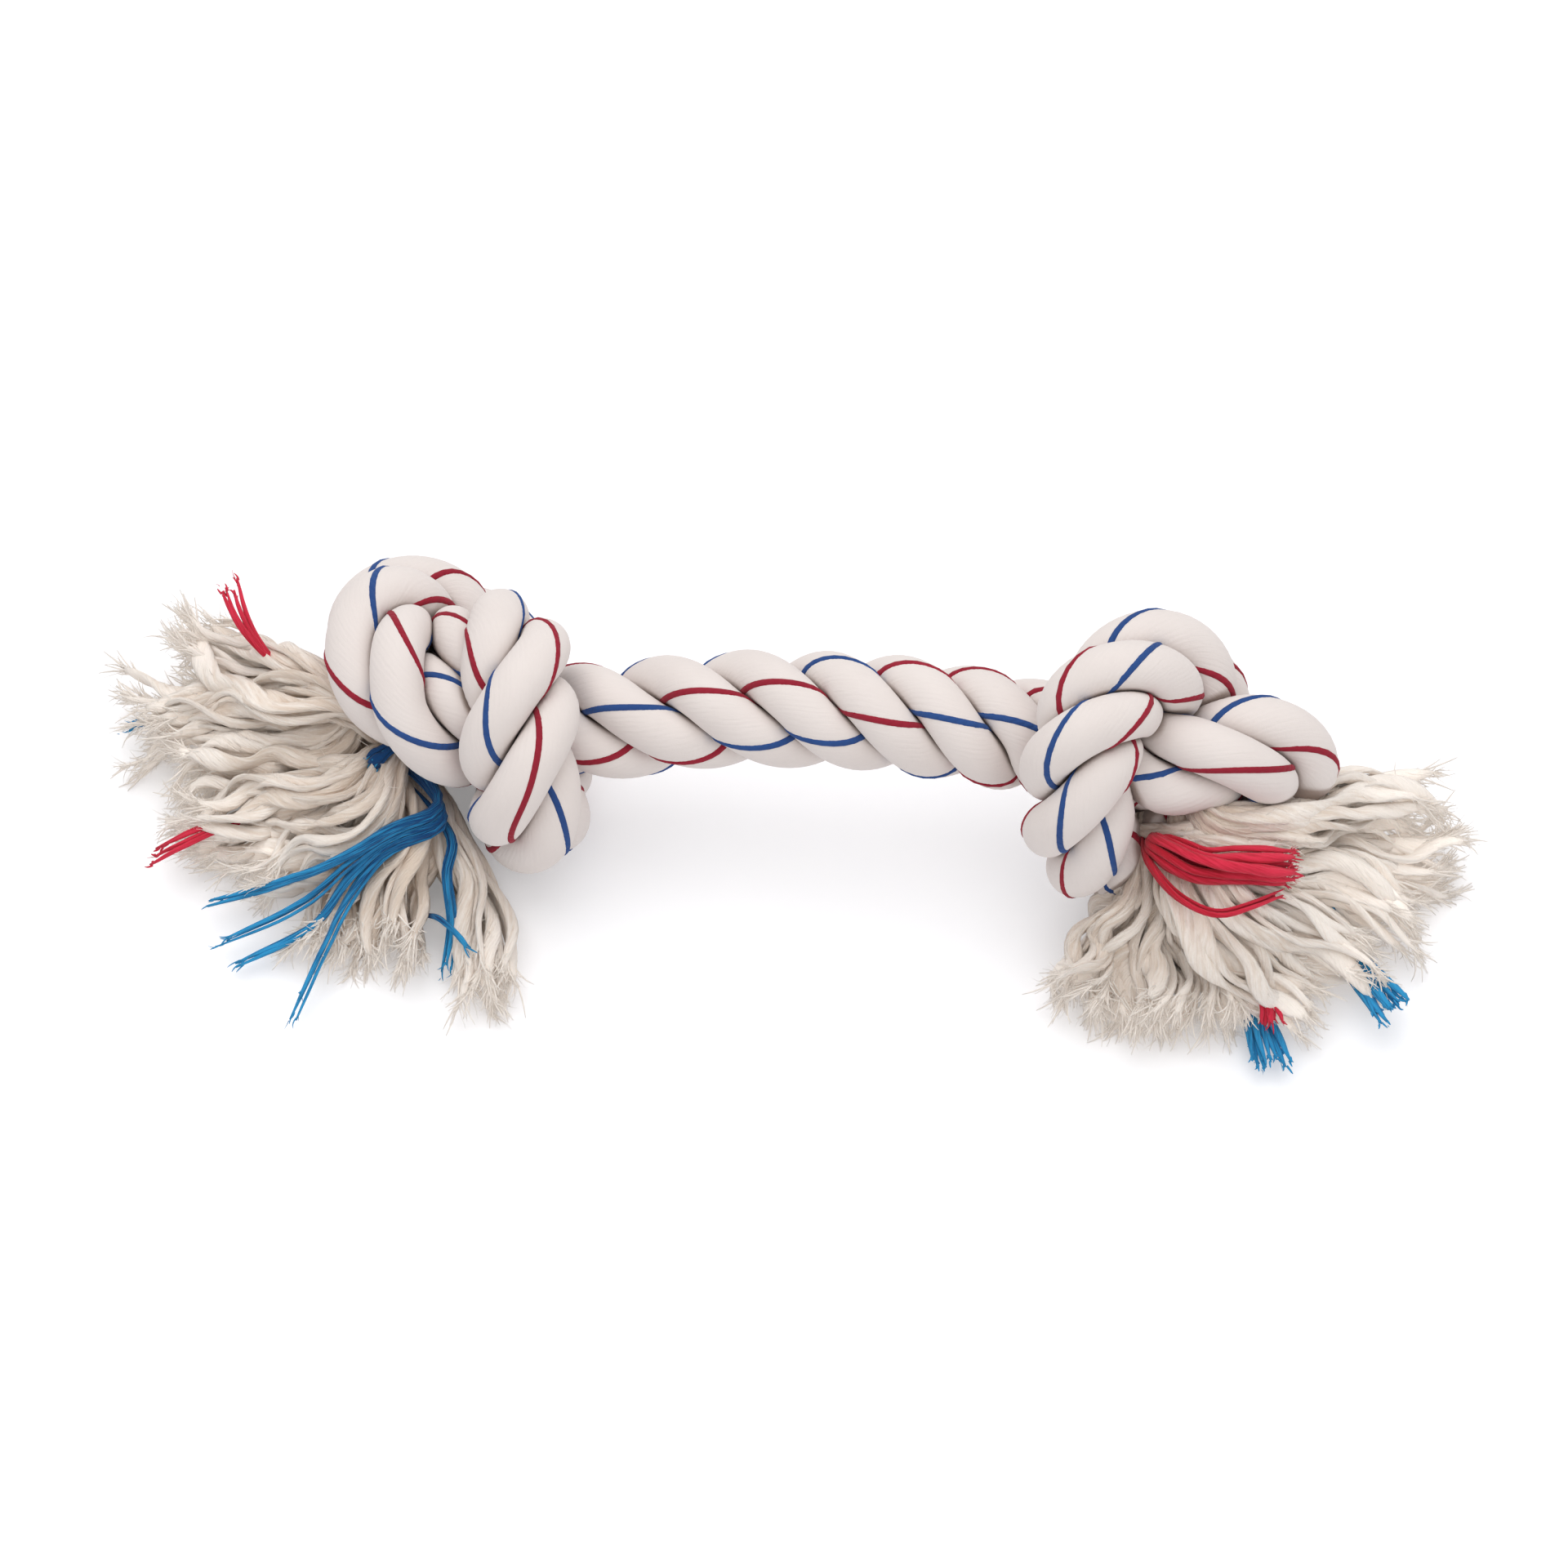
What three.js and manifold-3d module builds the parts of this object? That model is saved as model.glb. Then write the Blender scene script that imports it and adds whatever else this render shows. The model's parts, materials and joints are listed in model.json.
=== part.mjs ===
// A rope dog toy, in millimetres, with Z up and X along the rope. It lies on the floor at Z = 0.
// Three cotton strands are laid into one thick rope, which has an overhand knot near each end.
// Past each knot the strands come apart into bundles of loose yarn and a few red and blue yarns.
import * as THREE from 'three';
import Module from 'manifold-3d';

const wasm = await Module();
wasm.setup();

// Driving sizes
const STRAND_COUNT = 3;
const STRAND_RADIUS = 5.7;
const LAY_RADIUS = 6.4;
const GAP = 0.5;
const YARN_GAP = 1.2;
const SEAT_GAP = 0.3;
const THINNEST = 0.5;
const STRAND_SIDES = 8;
const STRAND_RING_STEP = 4.2;
const YARN_SIDES = 7;
const YARN_RINGS = 10;
const LINE_STEP = 1;

// Brings the toy's box centre over the origin
const ORIGIN_SHIFT = [0, -3.7, 0];

// The link in the middle of the rope that gives when the toy is bent, as shares of the rope's length
const LINK_START_SHARE = 0.479;
const LINK_END_SHARE = 0.532;

// Where the rope's centre runs, from the left tassel to the right one
const ROPE_ROUTE = [
  [-83.5, 24, 18.5],
  [-77.5, 27, 20],
  [-69.5, 30.5, 25.5],
  [-62, 30.5, 37.5],
  [-56, 23, 46],
  [-54.5, 11, 46.5],
  [-55, 2, 40.5],
  [-53.5, -2, 28.5],
  [-52.5, 4, 16.5],
  [-52.5, 17.5, 10.5],
  [-55, 31.5, 12.5],
  [-63.5, 43.5, 15.5],
  [-74.5, 47, 22.5],
  [-83, 39.5, 33.5],
  [-82.5, 26, 39.5],
  [-77, 17, 37.5],
  [-68, 13.5, 34],
  [-58.5, 16, 29],
  [-46.5, 18, 28],
  [-33.5, 17, 31.5],
  [-16, 16.5, 36.5],
  [3.5, 14.5, 40],
  [22.5, 12.5, 41.5],
  [41, 10, 40],
  [51, 9, 37.5],
  [62.5, 6.5, 36],
  [77, 0.5, 43.5],
  [91, 1.5, 44.5],
  [100, 4.5, 37.5],
  [100, 4.5, 23.5],
  [91, 1.5, 12],
  [78, -2, 10],
  [66, -7.5, 19],
  [59.5, -10.5, 37.5],
  [59.5, -4.5, 54.5],
  [66, 7.5, 59.5],
  [76.5, 16.5, 53],
  [83, 17, 36.5],
  [81.5, 7, 26.5],
  [81.5, -7, 28],
];

// How far the strands have turned around the rope: share of the rope's length, then turns
const LAY_TURNS = [
  [0, 0],
  [0.11, 1.37],
  [0.14, 1.7],
  [0.32, 3.8],
  [0.36, 4.19],
  [0.425, 4.81],
  [0.5, 5.62],
  [0.567, 6.47],
  [0.64, 7.49],
  [0.68, 7.88],
  [0.86, 9.91],
  [0.89, 10.38],
  [1, 11.65],
];

// Radius of a lock of yarn at its root, its middle and its tip, and the same for a thin dyed thread
const LOCK_RADII = [2.5, 6.2, 6.4];
const WISP_RADII = [2.4, 5, 5.2];
const THREAD_RADII = [0.9, 1.3, 1.1];
const RED_LOCK_RADII = [1.6, 3.9, 3.4];
const RED_YARN_COLOR = 0xb8243a;
const BLUE_YARN_COLOR = 0x1f6fb5;
const TASSEL_COLOR = 0xd8cbb8;
const STRAND_COLORS = [0xe6ded5, 0xe2d9cf, 0xe9e2da];

function tail(name, strand, turnShare, outShare, radii, route) {
  return { name, strand, turnShare, outShare, radii, route };
}

// The loose yarns. Each starts on the cut end of one strand, at a slot around that strand's middle.
// A slot is a share of a turn from straight up, and a share of the strand's radius.
const TAILS = [
  tail('left_yarn_top', 2, 0.05, 0.5, LOCK_RADII, [[-91, 27, 26.5], [-104, 33.5, 22], [-125, 46, 12]]),
  tail('left_yarn_back', 2, 0.38, 0.5, LOCK_RADII, [[-93, 30, 17], [-108, 32.5, 9], [-125, 36.5, 5.5]]),
  tail('left_yarn_middle', 2, 0.72, 0.5, LOCK_RADII, [[-94.5, 20, 16.5], [-111, 21, 10], [-126.5, 18, 5.5]]),
  tail('left_yarn_upper', 0, 0.1, 0.5, LOCK_RADII, [[-92.5, 24.5, 26.5], [-113, 29.5, 16.5], [-136, 31, 6]]),
  tail('left_yarn_lower', 0, 0.48, 0.5, LOCK_RADII, [[-90, 9.5, 19], [-107.5, 7, 11], [-124, 2.5, 5.5]]),
  tail('left_yarn_front', 0, 0.81, 0.5, LOCK_RADII, [[-84, 3.5, 20], [-96, -1.5, 10.5], [-111, -6.5, 5.5]]),
  tail('left_yarn_short', 1, 0.5, 0.5, WISP_RADII, [[-84, 9.5, 8], [-91.5, -8.5, 6], [-96.5, -23.5, 5]]),
  tail('left_yarn_down', 1, 0.1, 0.5, LOCK_RADII, [[-77.5, 2.5, 13.5], [-80, -10, 8], [-82.5, -27, 5]]),
  tail('left_yarn_side', 1, 0.74, 0.5, WISP_RADII, [[-70.5, 0.5, 12], [-64, -12.5, 6.5], [-60.5, -35.5, 4.5]]),
  tail('left_blue_a', 0, 0.92, 0.85, THREAD_RADII, [[-72, 4, 25], [-81, -2, 25], [-91, -6.5, 19], [-103.5, -10, 10], [-118, -11.5, 4]]),
  tail('left_blue_b', 0, 0.85, 0.85, THREAD_RADII, [[-71.5, 1, 23.5], [-81, -4, 22.5], [-90, -8.5, 16.5], [-99, -14, 8.5], [-116, -20, 3]]),
  tail('left_blue_c', 0, 0.78, 0.85, THREAD_RADII, [[-70, -1, 22], [-81, -5.5, 20], [-89, -10.5, 14], [-96.5, -17.5, 6.5], [-112, -24, 2.5]]),
  tail('left_blue_d', 0, 0.71, 0.85, THREAD_RADII, [[-69, -3, 20.5], [-80.5, -7.5, 17.5], [-87.5, -13, 13], [-94, -21.5, 8.5], [-102, -38.5, 2.5]]),
  tail('left_blue_e', 0, 0.65, 0.95, THREAD_RADII, [[-69.5, -2, 18], [-70, -10.5, 15.5], [-69, -19, 9.5], [-70.5, -28, 3]]),
  tail('left_red_top', 2, 0.97, 0.85, THREAD_RADII, [[-96, 26.5, 35], [-106, 33.5, 33], [-111.5, 37, 33.5], [-115.5, 47.5, 35]]),
  tail('left_red_low', 0, 0.36, 0.85, THREAD_RADII, [[-92.5, 12.5, 25], [-106.5, 6, 21], [-121, -1, 15], [-131, -2.5, 5]]),
  tail('right_yarn_top', 0, 0, 0.5, LOCK_RADII, [[89, -11.5, 37], [101, -8, 33.5], [115, 2.5, 22], [129.5, 8.5, 9]]),
  tail('right_yarn_upper', 2, 0.62, 0.5, LOCK_RADII, [[93.5, -8.5, 19.5], [112, -6, 13], [136.5, -2, 6]]),
  tail('right_yarn_middle', 0, 0.67, 0.5, LOCK_RADII, [[91.5, -16.5, 30], [108.5, -13.5, 18], [129, -14.5, 6]]),
  tail('right_yarn_lower', 0, 0.33, 0.5, LOCK_RADII, [[89.5, -24, 28.5], [104, -23.5, 18], [121, -28, 6]]),
  tail('right_yarn_front', 1, 0.8, 0.5, LOCK_RADII, [[80.5, -22, 28], [93, -31, 16], [106, -35.5, 5.5]]),
  tail('right_yarn_short', 2, 0.2, 0.5, WISP_RADII, [[81, -21, 18], [87, -29, 8], [92.5, -38.5, 5]]),
  tail('right_yarn_down', 1, 0.5, 0.5, LOCK_RADII, [[75, -19.5, 15], [75.5, -29.5, 9], [76.5, -41.5, 5.5]]),
  tail('right_yarn_side', 1, 0.22, 0.5, LOCK_RADII, [[70, -18.5, 18.5], [64.5, -26.5, 10], [59.5, -36, 5.5]]),
  tail('right_red_bundle', 1, 0.97, 0.45, RED_LOCK_RADII, [[75, -16.5, 37.5], [83.5, -21.5, 38.5], [94, -21, 37], [103, -18.5, 33]]),
  tail('right_red_low', 1, 0.09, 0.9, THREAD_RADII, [[73.5, -19.5, 36], [79, -27, 35], [86.5, -31, 34], [94, -28.5, 32.5], [101.5, -23, 28.5]]),
  tail('right_blue_front', 1, 0.6, 0.85, THREAD_RADII, [[84, -14, 9], [92, -24.5, 4], [99, -49.5, 2.5]]),
  tail('right_blue_side', 2, 0.45, 0.85, THREAD_RADII, [[97, -12, 11], [112, -20.5, 5], [125, -36, 2.5]]),
];

function sampleRoute(points, step) {
  const curve = new THREE.CatmullRomCurve3(points.map((p) => new THREE.Vector3(...p)), false, 'catmullrom', 0.5);
  curve.arcLengthDivisions = points.length * 60;
  const count = Math.max(2, Math.round(curve.getLength() / step));
  return curve.getSpacedPoints(count);
}

function distancesAlong(line) {
  const distances = [0];
  for (let i = 1; i < line.length; i += 1) {
    distances.push(distances[i - 1] + line[i].distanceTo(line[i - 1]));
  }
  return distances;
}

function tangentAt(line, i) {
  const before = line[Math.max(0, i - 1)];
  const after = line[Math.min(line.length - 1, i + 1)];
  return after.clone().sub(before).normalize();
}

// A pair of directions square to each heading, carried along with no twist of their own
function carryFrames(headings) {
  let normal = headings[0].clone().cross(new THREE.Vector3(0, 0, 1)).normalize();
  return headings.map((heading) => {
    normal = normal.clone().addScaledVector(heading, -normal.dot(heading)).normalize();
    return { normal, binormal: heading.clone().cross(normal) };
  });
}

function valueAtShare(table, share) {
  for (let i = 1; i < table.length; i += 1) {
    const [startShare, startValue] = table[i - 1];
    const [endShare, endValue] = table[i];
    if (share <= endShare) {
      return startValue + (endValue - startValue) * (share - startShare) / (endShare - startShare);
    }
  }
  return table[table.length - 1][1];
}

const ropeLine = sampleRoute(ROPE_ROUTE, LINE_STEP);
const ropeFrames = carryFrames(ropeLine.map((point, i) => tangentAt(ropeLine, i)));

function strandLine(index) {
  return ropeLine.map((point, i) => {
    const turns = valueAtShare(LAY_TURNS, i / (ropeLine.length - 1)) + index / STRAND_COUNT;
    const angle = turns * 2 * Math.PI;
    return point.clone()
      .addScaledVector(ropeFrames[i].normal, LAY_RADIUS * Math.cos(angle))
      .addScaledVector(ropeFrames[i].binormal, LAY_RADIUS * Math.sin(angle));
  });
}

// One tube of cotton: the line of its middle, how far along it each point is, and its radius there
function makeTube(name, line, radiusAtShare, parentName) {
  const distances = distancesAlong(line);
  const length = distances[distances.length - 1];
  const radii = distances.map((distance) => radiusAtShare(distance / length));
  return { name, line, distances, length, radii, parentName };
}

function strandName(index) {
  return `strand_${'abc'[index]}`;
}

function taperAlong(radii) {
  const [root, middle, tip] = radii;
  const middleShare = 0.4;
  return (share) => valueAtShare([[0, root], [middleShare, middle], [1, tip]], share);
}

const strandTubes = [];
for (let index = 0; index < STRAND_COUNT; index += 1) {
  strandTubes.push(makeTube(strandName(index), strandLine(index), () => STRAND_RADIUS, null));
}

// A loose yarn leaves its strand straight on, then follows its own route
function tailTube(spec) {
  const strand = strandTubes[spec.strand];
  const isLeft = spec.name.startsWith('left');
  const line = strand.line;
  const end = isLeft ? line[0] : line[line.length - 1];
  const heading = tangentAt(line, isLeft ? 0 : line.length - 1).multiplyScalar(isLeft ? -1 : 1);
  const up = new THREE.Vector3(0, 0, 1).addScaledVector(heading, -heading.z).normalize();
  const side = heading.clone().cross(up);
  const angle = spec.turnShare * 2 * Math.PI;
  const out = spec.outShare * STRAND_RADIUS;
  const root = end.clone()
    .addScaledVector(heading, SEAT_GAP)
    .addScaledVector(up, out * Math.cos(angle))
    .addScaledVector(side, out * Math.sin(angle));
  const leadIn = root.clone().addScaledVector(heading, spec.radii[0]);
  const points = [root.toArray(), leadIn.toArray(), ...spec.route];
  const tube = makeTube(spec.name, sampleRoute(points, LINE_STEP), taperAlong(spec.radii), strand.name);
  return { ...tube, root, heading };
}

const tailTubes = TAILS.map(tailTube);
const allTubes = [...strandTubes, ...tailTubes];

// Every point of every line, which each tube's skin is pressed back from
const pressPoints = allTubes.flatMap((tube) => tube.line.map((point, i) => (
  { tube, point, distance: tube.distances[i], radius: tube.radii[i] }
)));

// A loose yarn and its own strand meet face to face at the strand's cut end
function meetAtCut(tube, distance, other) {
  const cutReach = 2 * STRAND_RADIUS;
  const isLeft = tube.name.startsWith('left') || other.tube.name.startsWith('left');
  if (other.tube.name === tube.parentName) {
    return (isLeft ? other.distance : other.tube.length - other.distance) < cutReach;
  }
  if (other.tube.parentName === tube.name) {
    return (isLeft ? distance : tube.length - distance) < cutReach;
  }
  return false;
}

// Soft cotton pressed against its neighbour goes flat halfway between the two
function pressedRadius(tube, distance, centre, radius, direction, inwardBend) {
  let reach = radius;
  const bend = direction.dot(inwardBend);
  const bendShare = 0.8;
  if (bend > 0) {
    reach = Math.min(reach, bendShare / bend);
  }
  if (tube.parentName && direction.z < 0) {
    reach = Math.min(reach, centre.z / -direction.z);
  }
  for (const other of pressPoints) {
    const isNearSelf = other.tube === tube && Math.abs(other.distance - distance) < 2.6 * radius;
    if (isNearSelf || meetAtCut(tube, distance, other)) {
      continue;
    }
    const away = other.point.clone().sub(centre);
    const apart = away.length();
    if (apart > 2 * radius + other.radius) {
      continue;
    }
    const facing = direction.dot(away) / apart;
    if (facing <= 0) {
      continue;
    }
    const gap = tube.parentName || other.tube.parentName ? YARN_GAP : GAP;
    const wall = apart * radius / (radius + other.radius) - gap / 2;
    reach = Math.min(reach, wall / facing);
  }
  return Math.max(THINNEST, reach);
}

function pointAt(tube, distance) {
  const { line, distances } = tube;
  let i = 1;
  while (i < line.length - 1 && distances[i] < distance) {
    i += 1;
  }
  const share = (distance - distances[i - 1]) / (distances[i] - distances[i - 1]);
  return line[i - 1].clone().lerp(line[i], share);
}

function headingAt(tube, distance) {
  const before = pointAt(tube, Math.max(0, distance - LINE_STEP));
  const after = pointAt(tube, Math.min(tube.length, distance + LINE_STEP));
  return after.sub(before).normalize();
}

// Rings of points around a tube from one distance along it to another
function ringsAlong(tube, start, end, ringCount, sides, radiusAt) {
  const places = [];
  for (let i = 0; i <= ringCount; i += 1) {
    places.push(start + (end - start) * i / ringCount);
  }
  const centres = places.map((place) => pointAt(tube, place));
  const frames = carryFrames(places.map((place) => headingAt(tube, place)));
  const spacing = (end - start) / ringCount;
  return centres.map((centre, i) => {
    const before = centres[Math.max(0, i - 1)];
    const after = centres[Math.min(ringCount, i + 1)];
    const isInside = i > 0 && i < ringCount;
    const inwardBend = new THREE.Vector3();
    if (isInside) {
      inwardBend.copy(before).add(after).addScaledVector(centre, -2).divideScalar(spacing * spacing);
    }
    const radius = radiusAt(places[i]);
    const ring = [];
    for (let k = 0; k < sides; k += 1) {
      const angle = k / sides * 2 * Math.PI;
      const direction = frames[i].normal.clone().multiplyScalar(Math.cos(angle))
        .addScaledVector(frames[i].binormal, Math.sin(angle));
      const reach = pressedRadius(tube, places[i], centre, radius, direction, inwardBend);
      ring.push(centre.clone().addScaledVector(direction, reach));
    }
    return ring;
  });
}

// Joins the rings into one closed skin with a flat cap at each end
function skinOf(rings) {
  const sides = rings[0].length;
  const positions = rings.flat().flatMap((point) => point.toArray());
  const indices = [];
  for (let i = 0; i < rings.length - 1; i += 1) {
    for (let k = 0; k < sides; k += 1) {
      const a = i * sides + k;
      const b = i * sides + (k + 1) % sides;
      indices.push(a, b, b + sides, a, b + sides, a + sides);
    }
  }
  const last = (rings.length - 1) * sides;
  for (let k = 1; k < sides - 1; k += 1) {
    indices.push(0, k + 1, k);
    indices.push(last, last + k, last + k + 1);
  }
  const geometry = new THREE.BufferGeometry();
  geometry.setAttribute('position', new THREE.Float32BufferAttribute(positions, 3));
  geometry.setIndex(indices);
  return geometry;
}

// The toy's weight presses what lies on the floor flat
function cutAtFloor(geometry) {
  const mesh = new wasm.Mesh({
    numProp: 3,
    vertProperties: new Float32Array(geometry.getAttribute('position').array),
    triVerts: new Uint32Array(geometry.getIndex().array),
  });
  mesh.merge();
  const solid = wasm.Manifold.ofMesh(mesh);
  const cut = solid.trimByPlane([0, 0, 1], 0).getMesh();
  const result = new THREE.BufferGeometry();
  result.setAttribute('position', new THREE.Float32BufferAttribute(cut.vertProperties, 3));
  result.setIndex(Array.from(cut.triVerts));
  return result;
}

const toy = new THREE.Group();
toy.name = 'rope_dog_toy';

function addPiece(name, rings, color) {
  let geometry = skinOf(rings);
  geometry.computeBoundingBox();
  if (geometry.boundingBox.min.z < 0) {
    geometry = cutAtFloor(geometry);
  }
  geometry.translate(...ORIGIN_SHIFT);
  geometry.computeVertexNormals();
  const material = new THREE.MeshStandardMaterial({ color, roughness: 0.95 });
  const mesh = new THREE.Mesh(geometry, material);
  mesh.name = name;
  toy.add(mesh);
}

function addStrandPart(tube, suffix, start, end, color) {
  const ringCount = Math.round((end - start) / STRAND_RING_STEP);
  const rings = ringsAlong(tube, start, end, ringCount, STRAND_SIDES, () => STRAND_RADIUS);
  addPiece(`${tube.name}_${suffix}`, rings, color);
}

strandTubes.forEach((tube, index) => {
  const last = tube.line.length - 1;
  const linkStart = tube.distances[Math.round(LINK_START_SHARE * last)];
  const linkEnd = tube.distances[Math.round(LINK_END_SHARE * last)];
  const half = SEAT_GAP / 2;
  addStrandPart(tube, 'left', 0, linkStart - half, STRAND_COLORS[index]);
  addStrandPart(tube, 'link', linkStart + half, linkEnd - half, STRAND_COLORS[index]);
  addStrandPart(tube, 'right', linkEnd + half, tube.length, STRAND_COLORS[index]);
});

function tailColor(name) {
  if (name.includes('red')) {
    return RED_YARN_COLOR;
  }
  return name.includes('blue') ? BLUE_YARN_COLOR : TASSEL_COLOR;
}

tailTubes.forEach((tube, index) => {
  const radiusAt = (distance) => taperAlong(TAILS[index].radii)(distance / tube.length);
  const rings = ringsAlong(tube, 0, tube.length, YARN_RINGS, YARN_SIDES, radiusAt);
  rings[0].forEach((point) => {
    const rise = point.clone().sub(tube.root).dot(tube.heading);
    point.addScaledVector(tube.heading, -rise);
  });
  addPiece(tube.name, rings, tailColor(tube.name));
});

export default toy;
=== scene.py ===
import bpy
import json
import math
import random
import numpy as np
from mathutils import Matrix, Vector

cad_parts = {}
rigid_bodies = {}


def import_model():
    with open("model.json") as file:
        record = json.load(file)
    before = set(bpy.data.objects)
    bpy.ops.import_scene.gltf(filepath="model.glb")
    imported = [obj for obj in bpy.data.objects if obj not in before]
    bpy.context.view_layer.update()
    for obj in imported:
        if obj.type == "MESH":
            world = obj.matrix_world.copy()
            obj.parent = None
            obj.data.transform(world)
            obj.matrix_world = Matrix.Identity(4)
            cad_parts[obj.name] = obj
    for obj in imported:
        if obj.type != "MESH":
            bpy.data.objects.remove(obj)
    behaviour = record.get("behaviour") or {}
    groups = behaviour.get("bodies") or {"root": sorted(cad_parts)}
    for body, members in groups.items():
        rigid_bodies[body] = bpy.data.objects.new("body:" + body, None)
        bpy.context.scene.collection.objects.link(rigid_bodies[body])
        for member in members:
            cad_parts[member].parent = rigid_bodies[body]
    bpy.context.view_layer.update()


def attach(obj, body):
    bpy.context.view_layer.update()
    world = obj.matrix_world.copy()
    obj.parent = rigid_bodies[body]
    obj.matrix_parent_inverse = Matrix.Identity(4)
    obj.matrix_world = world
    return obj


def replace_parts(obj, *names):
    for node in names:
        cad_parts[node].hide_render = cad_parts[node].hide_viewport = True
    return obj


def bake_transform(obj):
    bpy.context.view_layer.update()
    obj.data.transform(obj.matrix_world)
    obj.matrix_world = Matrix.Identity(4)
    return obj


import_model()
bpy.ops.object.select_all(action="DESELECT")

# Camera: a long lens that looks down at the toy from the front, at the photograph's angle.
# It stands back until its field is as wide as the photograph's frame.
MM = 0.001
CAMERA_TILT = math.radians(60)
LOOK_AT = Vector((-0.8, -3.7, 34.6)) * MM
TO_CAMERA = Vector((0, -math.cos(CAMERA_TILT), math.sin(CAMERA_TILT)))
FIELD_WIDTH = 320 * MM
LENS = 300
SENSOR = 36
CLIP_START = 0.05
camera_data = bpy.data.cameras.new("camera")
camera_data.lens = LENS
camera_data.sensor_width = SENSOR
camera_data.clip_start = CLIP_START
camera = bpy.data.objects.new("camera", camera_data)
camera.location = LOOK_AT + TO_CAMERA * (FIELD_WIDTH * LENS / SENSOR)
camera.rotation_euler = (math.pi / 2 - CAMERA_TILT, 0, 0)
bpy.context.scene.collection.objects.link(camera)
bpy.context.scene.camera = camera

# The rope's way: one thick rope of three strands, tied by hand in an overhand knot near each end.
# Its route and its lay have the same points and the same formulas as the CAD model, in millimetres.
STRAND_COUNT = 3
STRAND_RADIUS = 5.7
LAY_RADIUS = 6.4
ORIGIN_SHIFT = np.array([0, -3.7, 0])
LINE_STEP = 1
CURVE_STEPS = 60
ROPE_ROUTE = [
    (-83.5, 24, 18.5), (-77.5, 27, 20), (-69.5, 30.5, 25.5), (-62, 30.5, 37.5), (-56, 23, 46),
    (-54.5, 11, 46.5), (-55, 2, 40.5), (-53.5, -2, 28.5), (-52.5, 4, 16.5), (-52.5, 17.5, 10.5),
    (-55, 31.5, 12.5), (-63.5, 43.5, 15.5), (-74.5, 47, 22.5), (-83, 39.5, 33.5), (-82.5, 26, 39.5),
    (-77, 17, 37.5), (-68, 13.5, 34), (-58.5, 16, 29), (-46.5, 18, 28), (-33.5, 17, 31.5),
    (-16, 16.5, 36.5), (3.5, 14.5, 40), (22.5, 12.5, 41.5), (41, 10, 40), (51, 9, 37.5),
    (62.5, 6.5, 36), (77, 0.5, 43.5), (91, 1.5, 44.5), (100, 4.5, 37.5), (100, 4.5, 23.5),
    (91, 1.5, 12), (78, -2, 10), (66, -7.5, 19), (59.5, -10.5, 37.5), (59.5, -4.5, 54.5),
    (66, 7.5, 59.5), (76.5, 16.5, 53), (83, 17, 36.5), (81.5, 7, 26.5), (81.5, -7, 28),
]
LAY_TURNS = [
    (0, 0), (0.11, 1.37), (0.14, 1.7), (0.32, 3.8), (0.36, 4.19), (0.425, 4.81), (0.5, 5.62),
    (0.567, 6.47), (0.64, 7.49), (0.68, 7.88), (0.86, 9.91), (0.89, 10.38), (1, 11.65),
]


def distances(line):
    return np.concatenate([[0], np.cumsum(np.linalg.norm(np.diff(line, axis=0), axis=1))])


def at_distances(line, along, places):
    return np.stack([np.interp(places, along, line[:, axis]) for axis in range(3)], axis=1)


def sample_route(points, step):
    """Points at an even spacing on the smooth curve through the given ones."""
    given = np.array(points, float)
    ends = np.vstack([2 * given[0] - given[1], given, 2 * given[-1] - given[-2]])
    fine = []
    for a, b, c, d in zip(ends[:-3], ends[1:-2], ends[2:-1], ends[3:]):
        t = np.linspace(0, 1, CURVE_STEPS, endpoint=False)[:, None]
        fine.append(0.5 * (2 * b + (c - a) * t + (2 * a - 5 * b + 4 * c - d) * t**2
                           + (3 * b - a - 3 * c + d) * t**3))
    fine = np.vstack(fine + [given[-1:]])
    along = distances(fine)
    count = max(2, round(along[-1] / step))
    return at_distances(fine, along, np.linspace(0, along[-1], count + 1))


def unit(vectors):
    return vectors / np.linalg.norm(vectors, axis=-1, keepdims=True)


def headings_of(line):
    padded = np.vstack([line[:1], line, line[-1:]])
    return unit(padded[2:] - padded[:-2])


def square_to(vectors, headings):
    """The given directions, turned square to the headings."""
    return unit(vectors - headings * np.sum(vectors * headings, axis=1, keepdims=True))


def carry_frames(headings):
    """Two directions square to each heading, carried along with no twist of their own."""
    normals = []
    normal = unit(np.cross(headings[0], (0, 0, 1)))
    for heading in headings:
        normal = unit(normal - heading * normal.dot(heading))
        normals.append(normal)
    normals = np.array(normals)
    return normals, np.cross(headings, normals)


rope_line = sample_route(ROPE_ROUTE, LINE_STEP)
rope_normals, rope_binormals = carry_frames(headings_of(rope_line))
rope_shares = np.linspace(0, 1, len(rope_line))
lay_turns = np.interp(rope_shares, *zip(*LAY_TURNS))


def strand_line(index):
    angle = 2 * np.pi * (lay_turns + index / STRAND_COUNT)[:, None]
    return rope_line + LAY_RADIUS * (np.cos(angle) * rope_normals + np.sin(angle) * rope_binormals)


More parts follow.
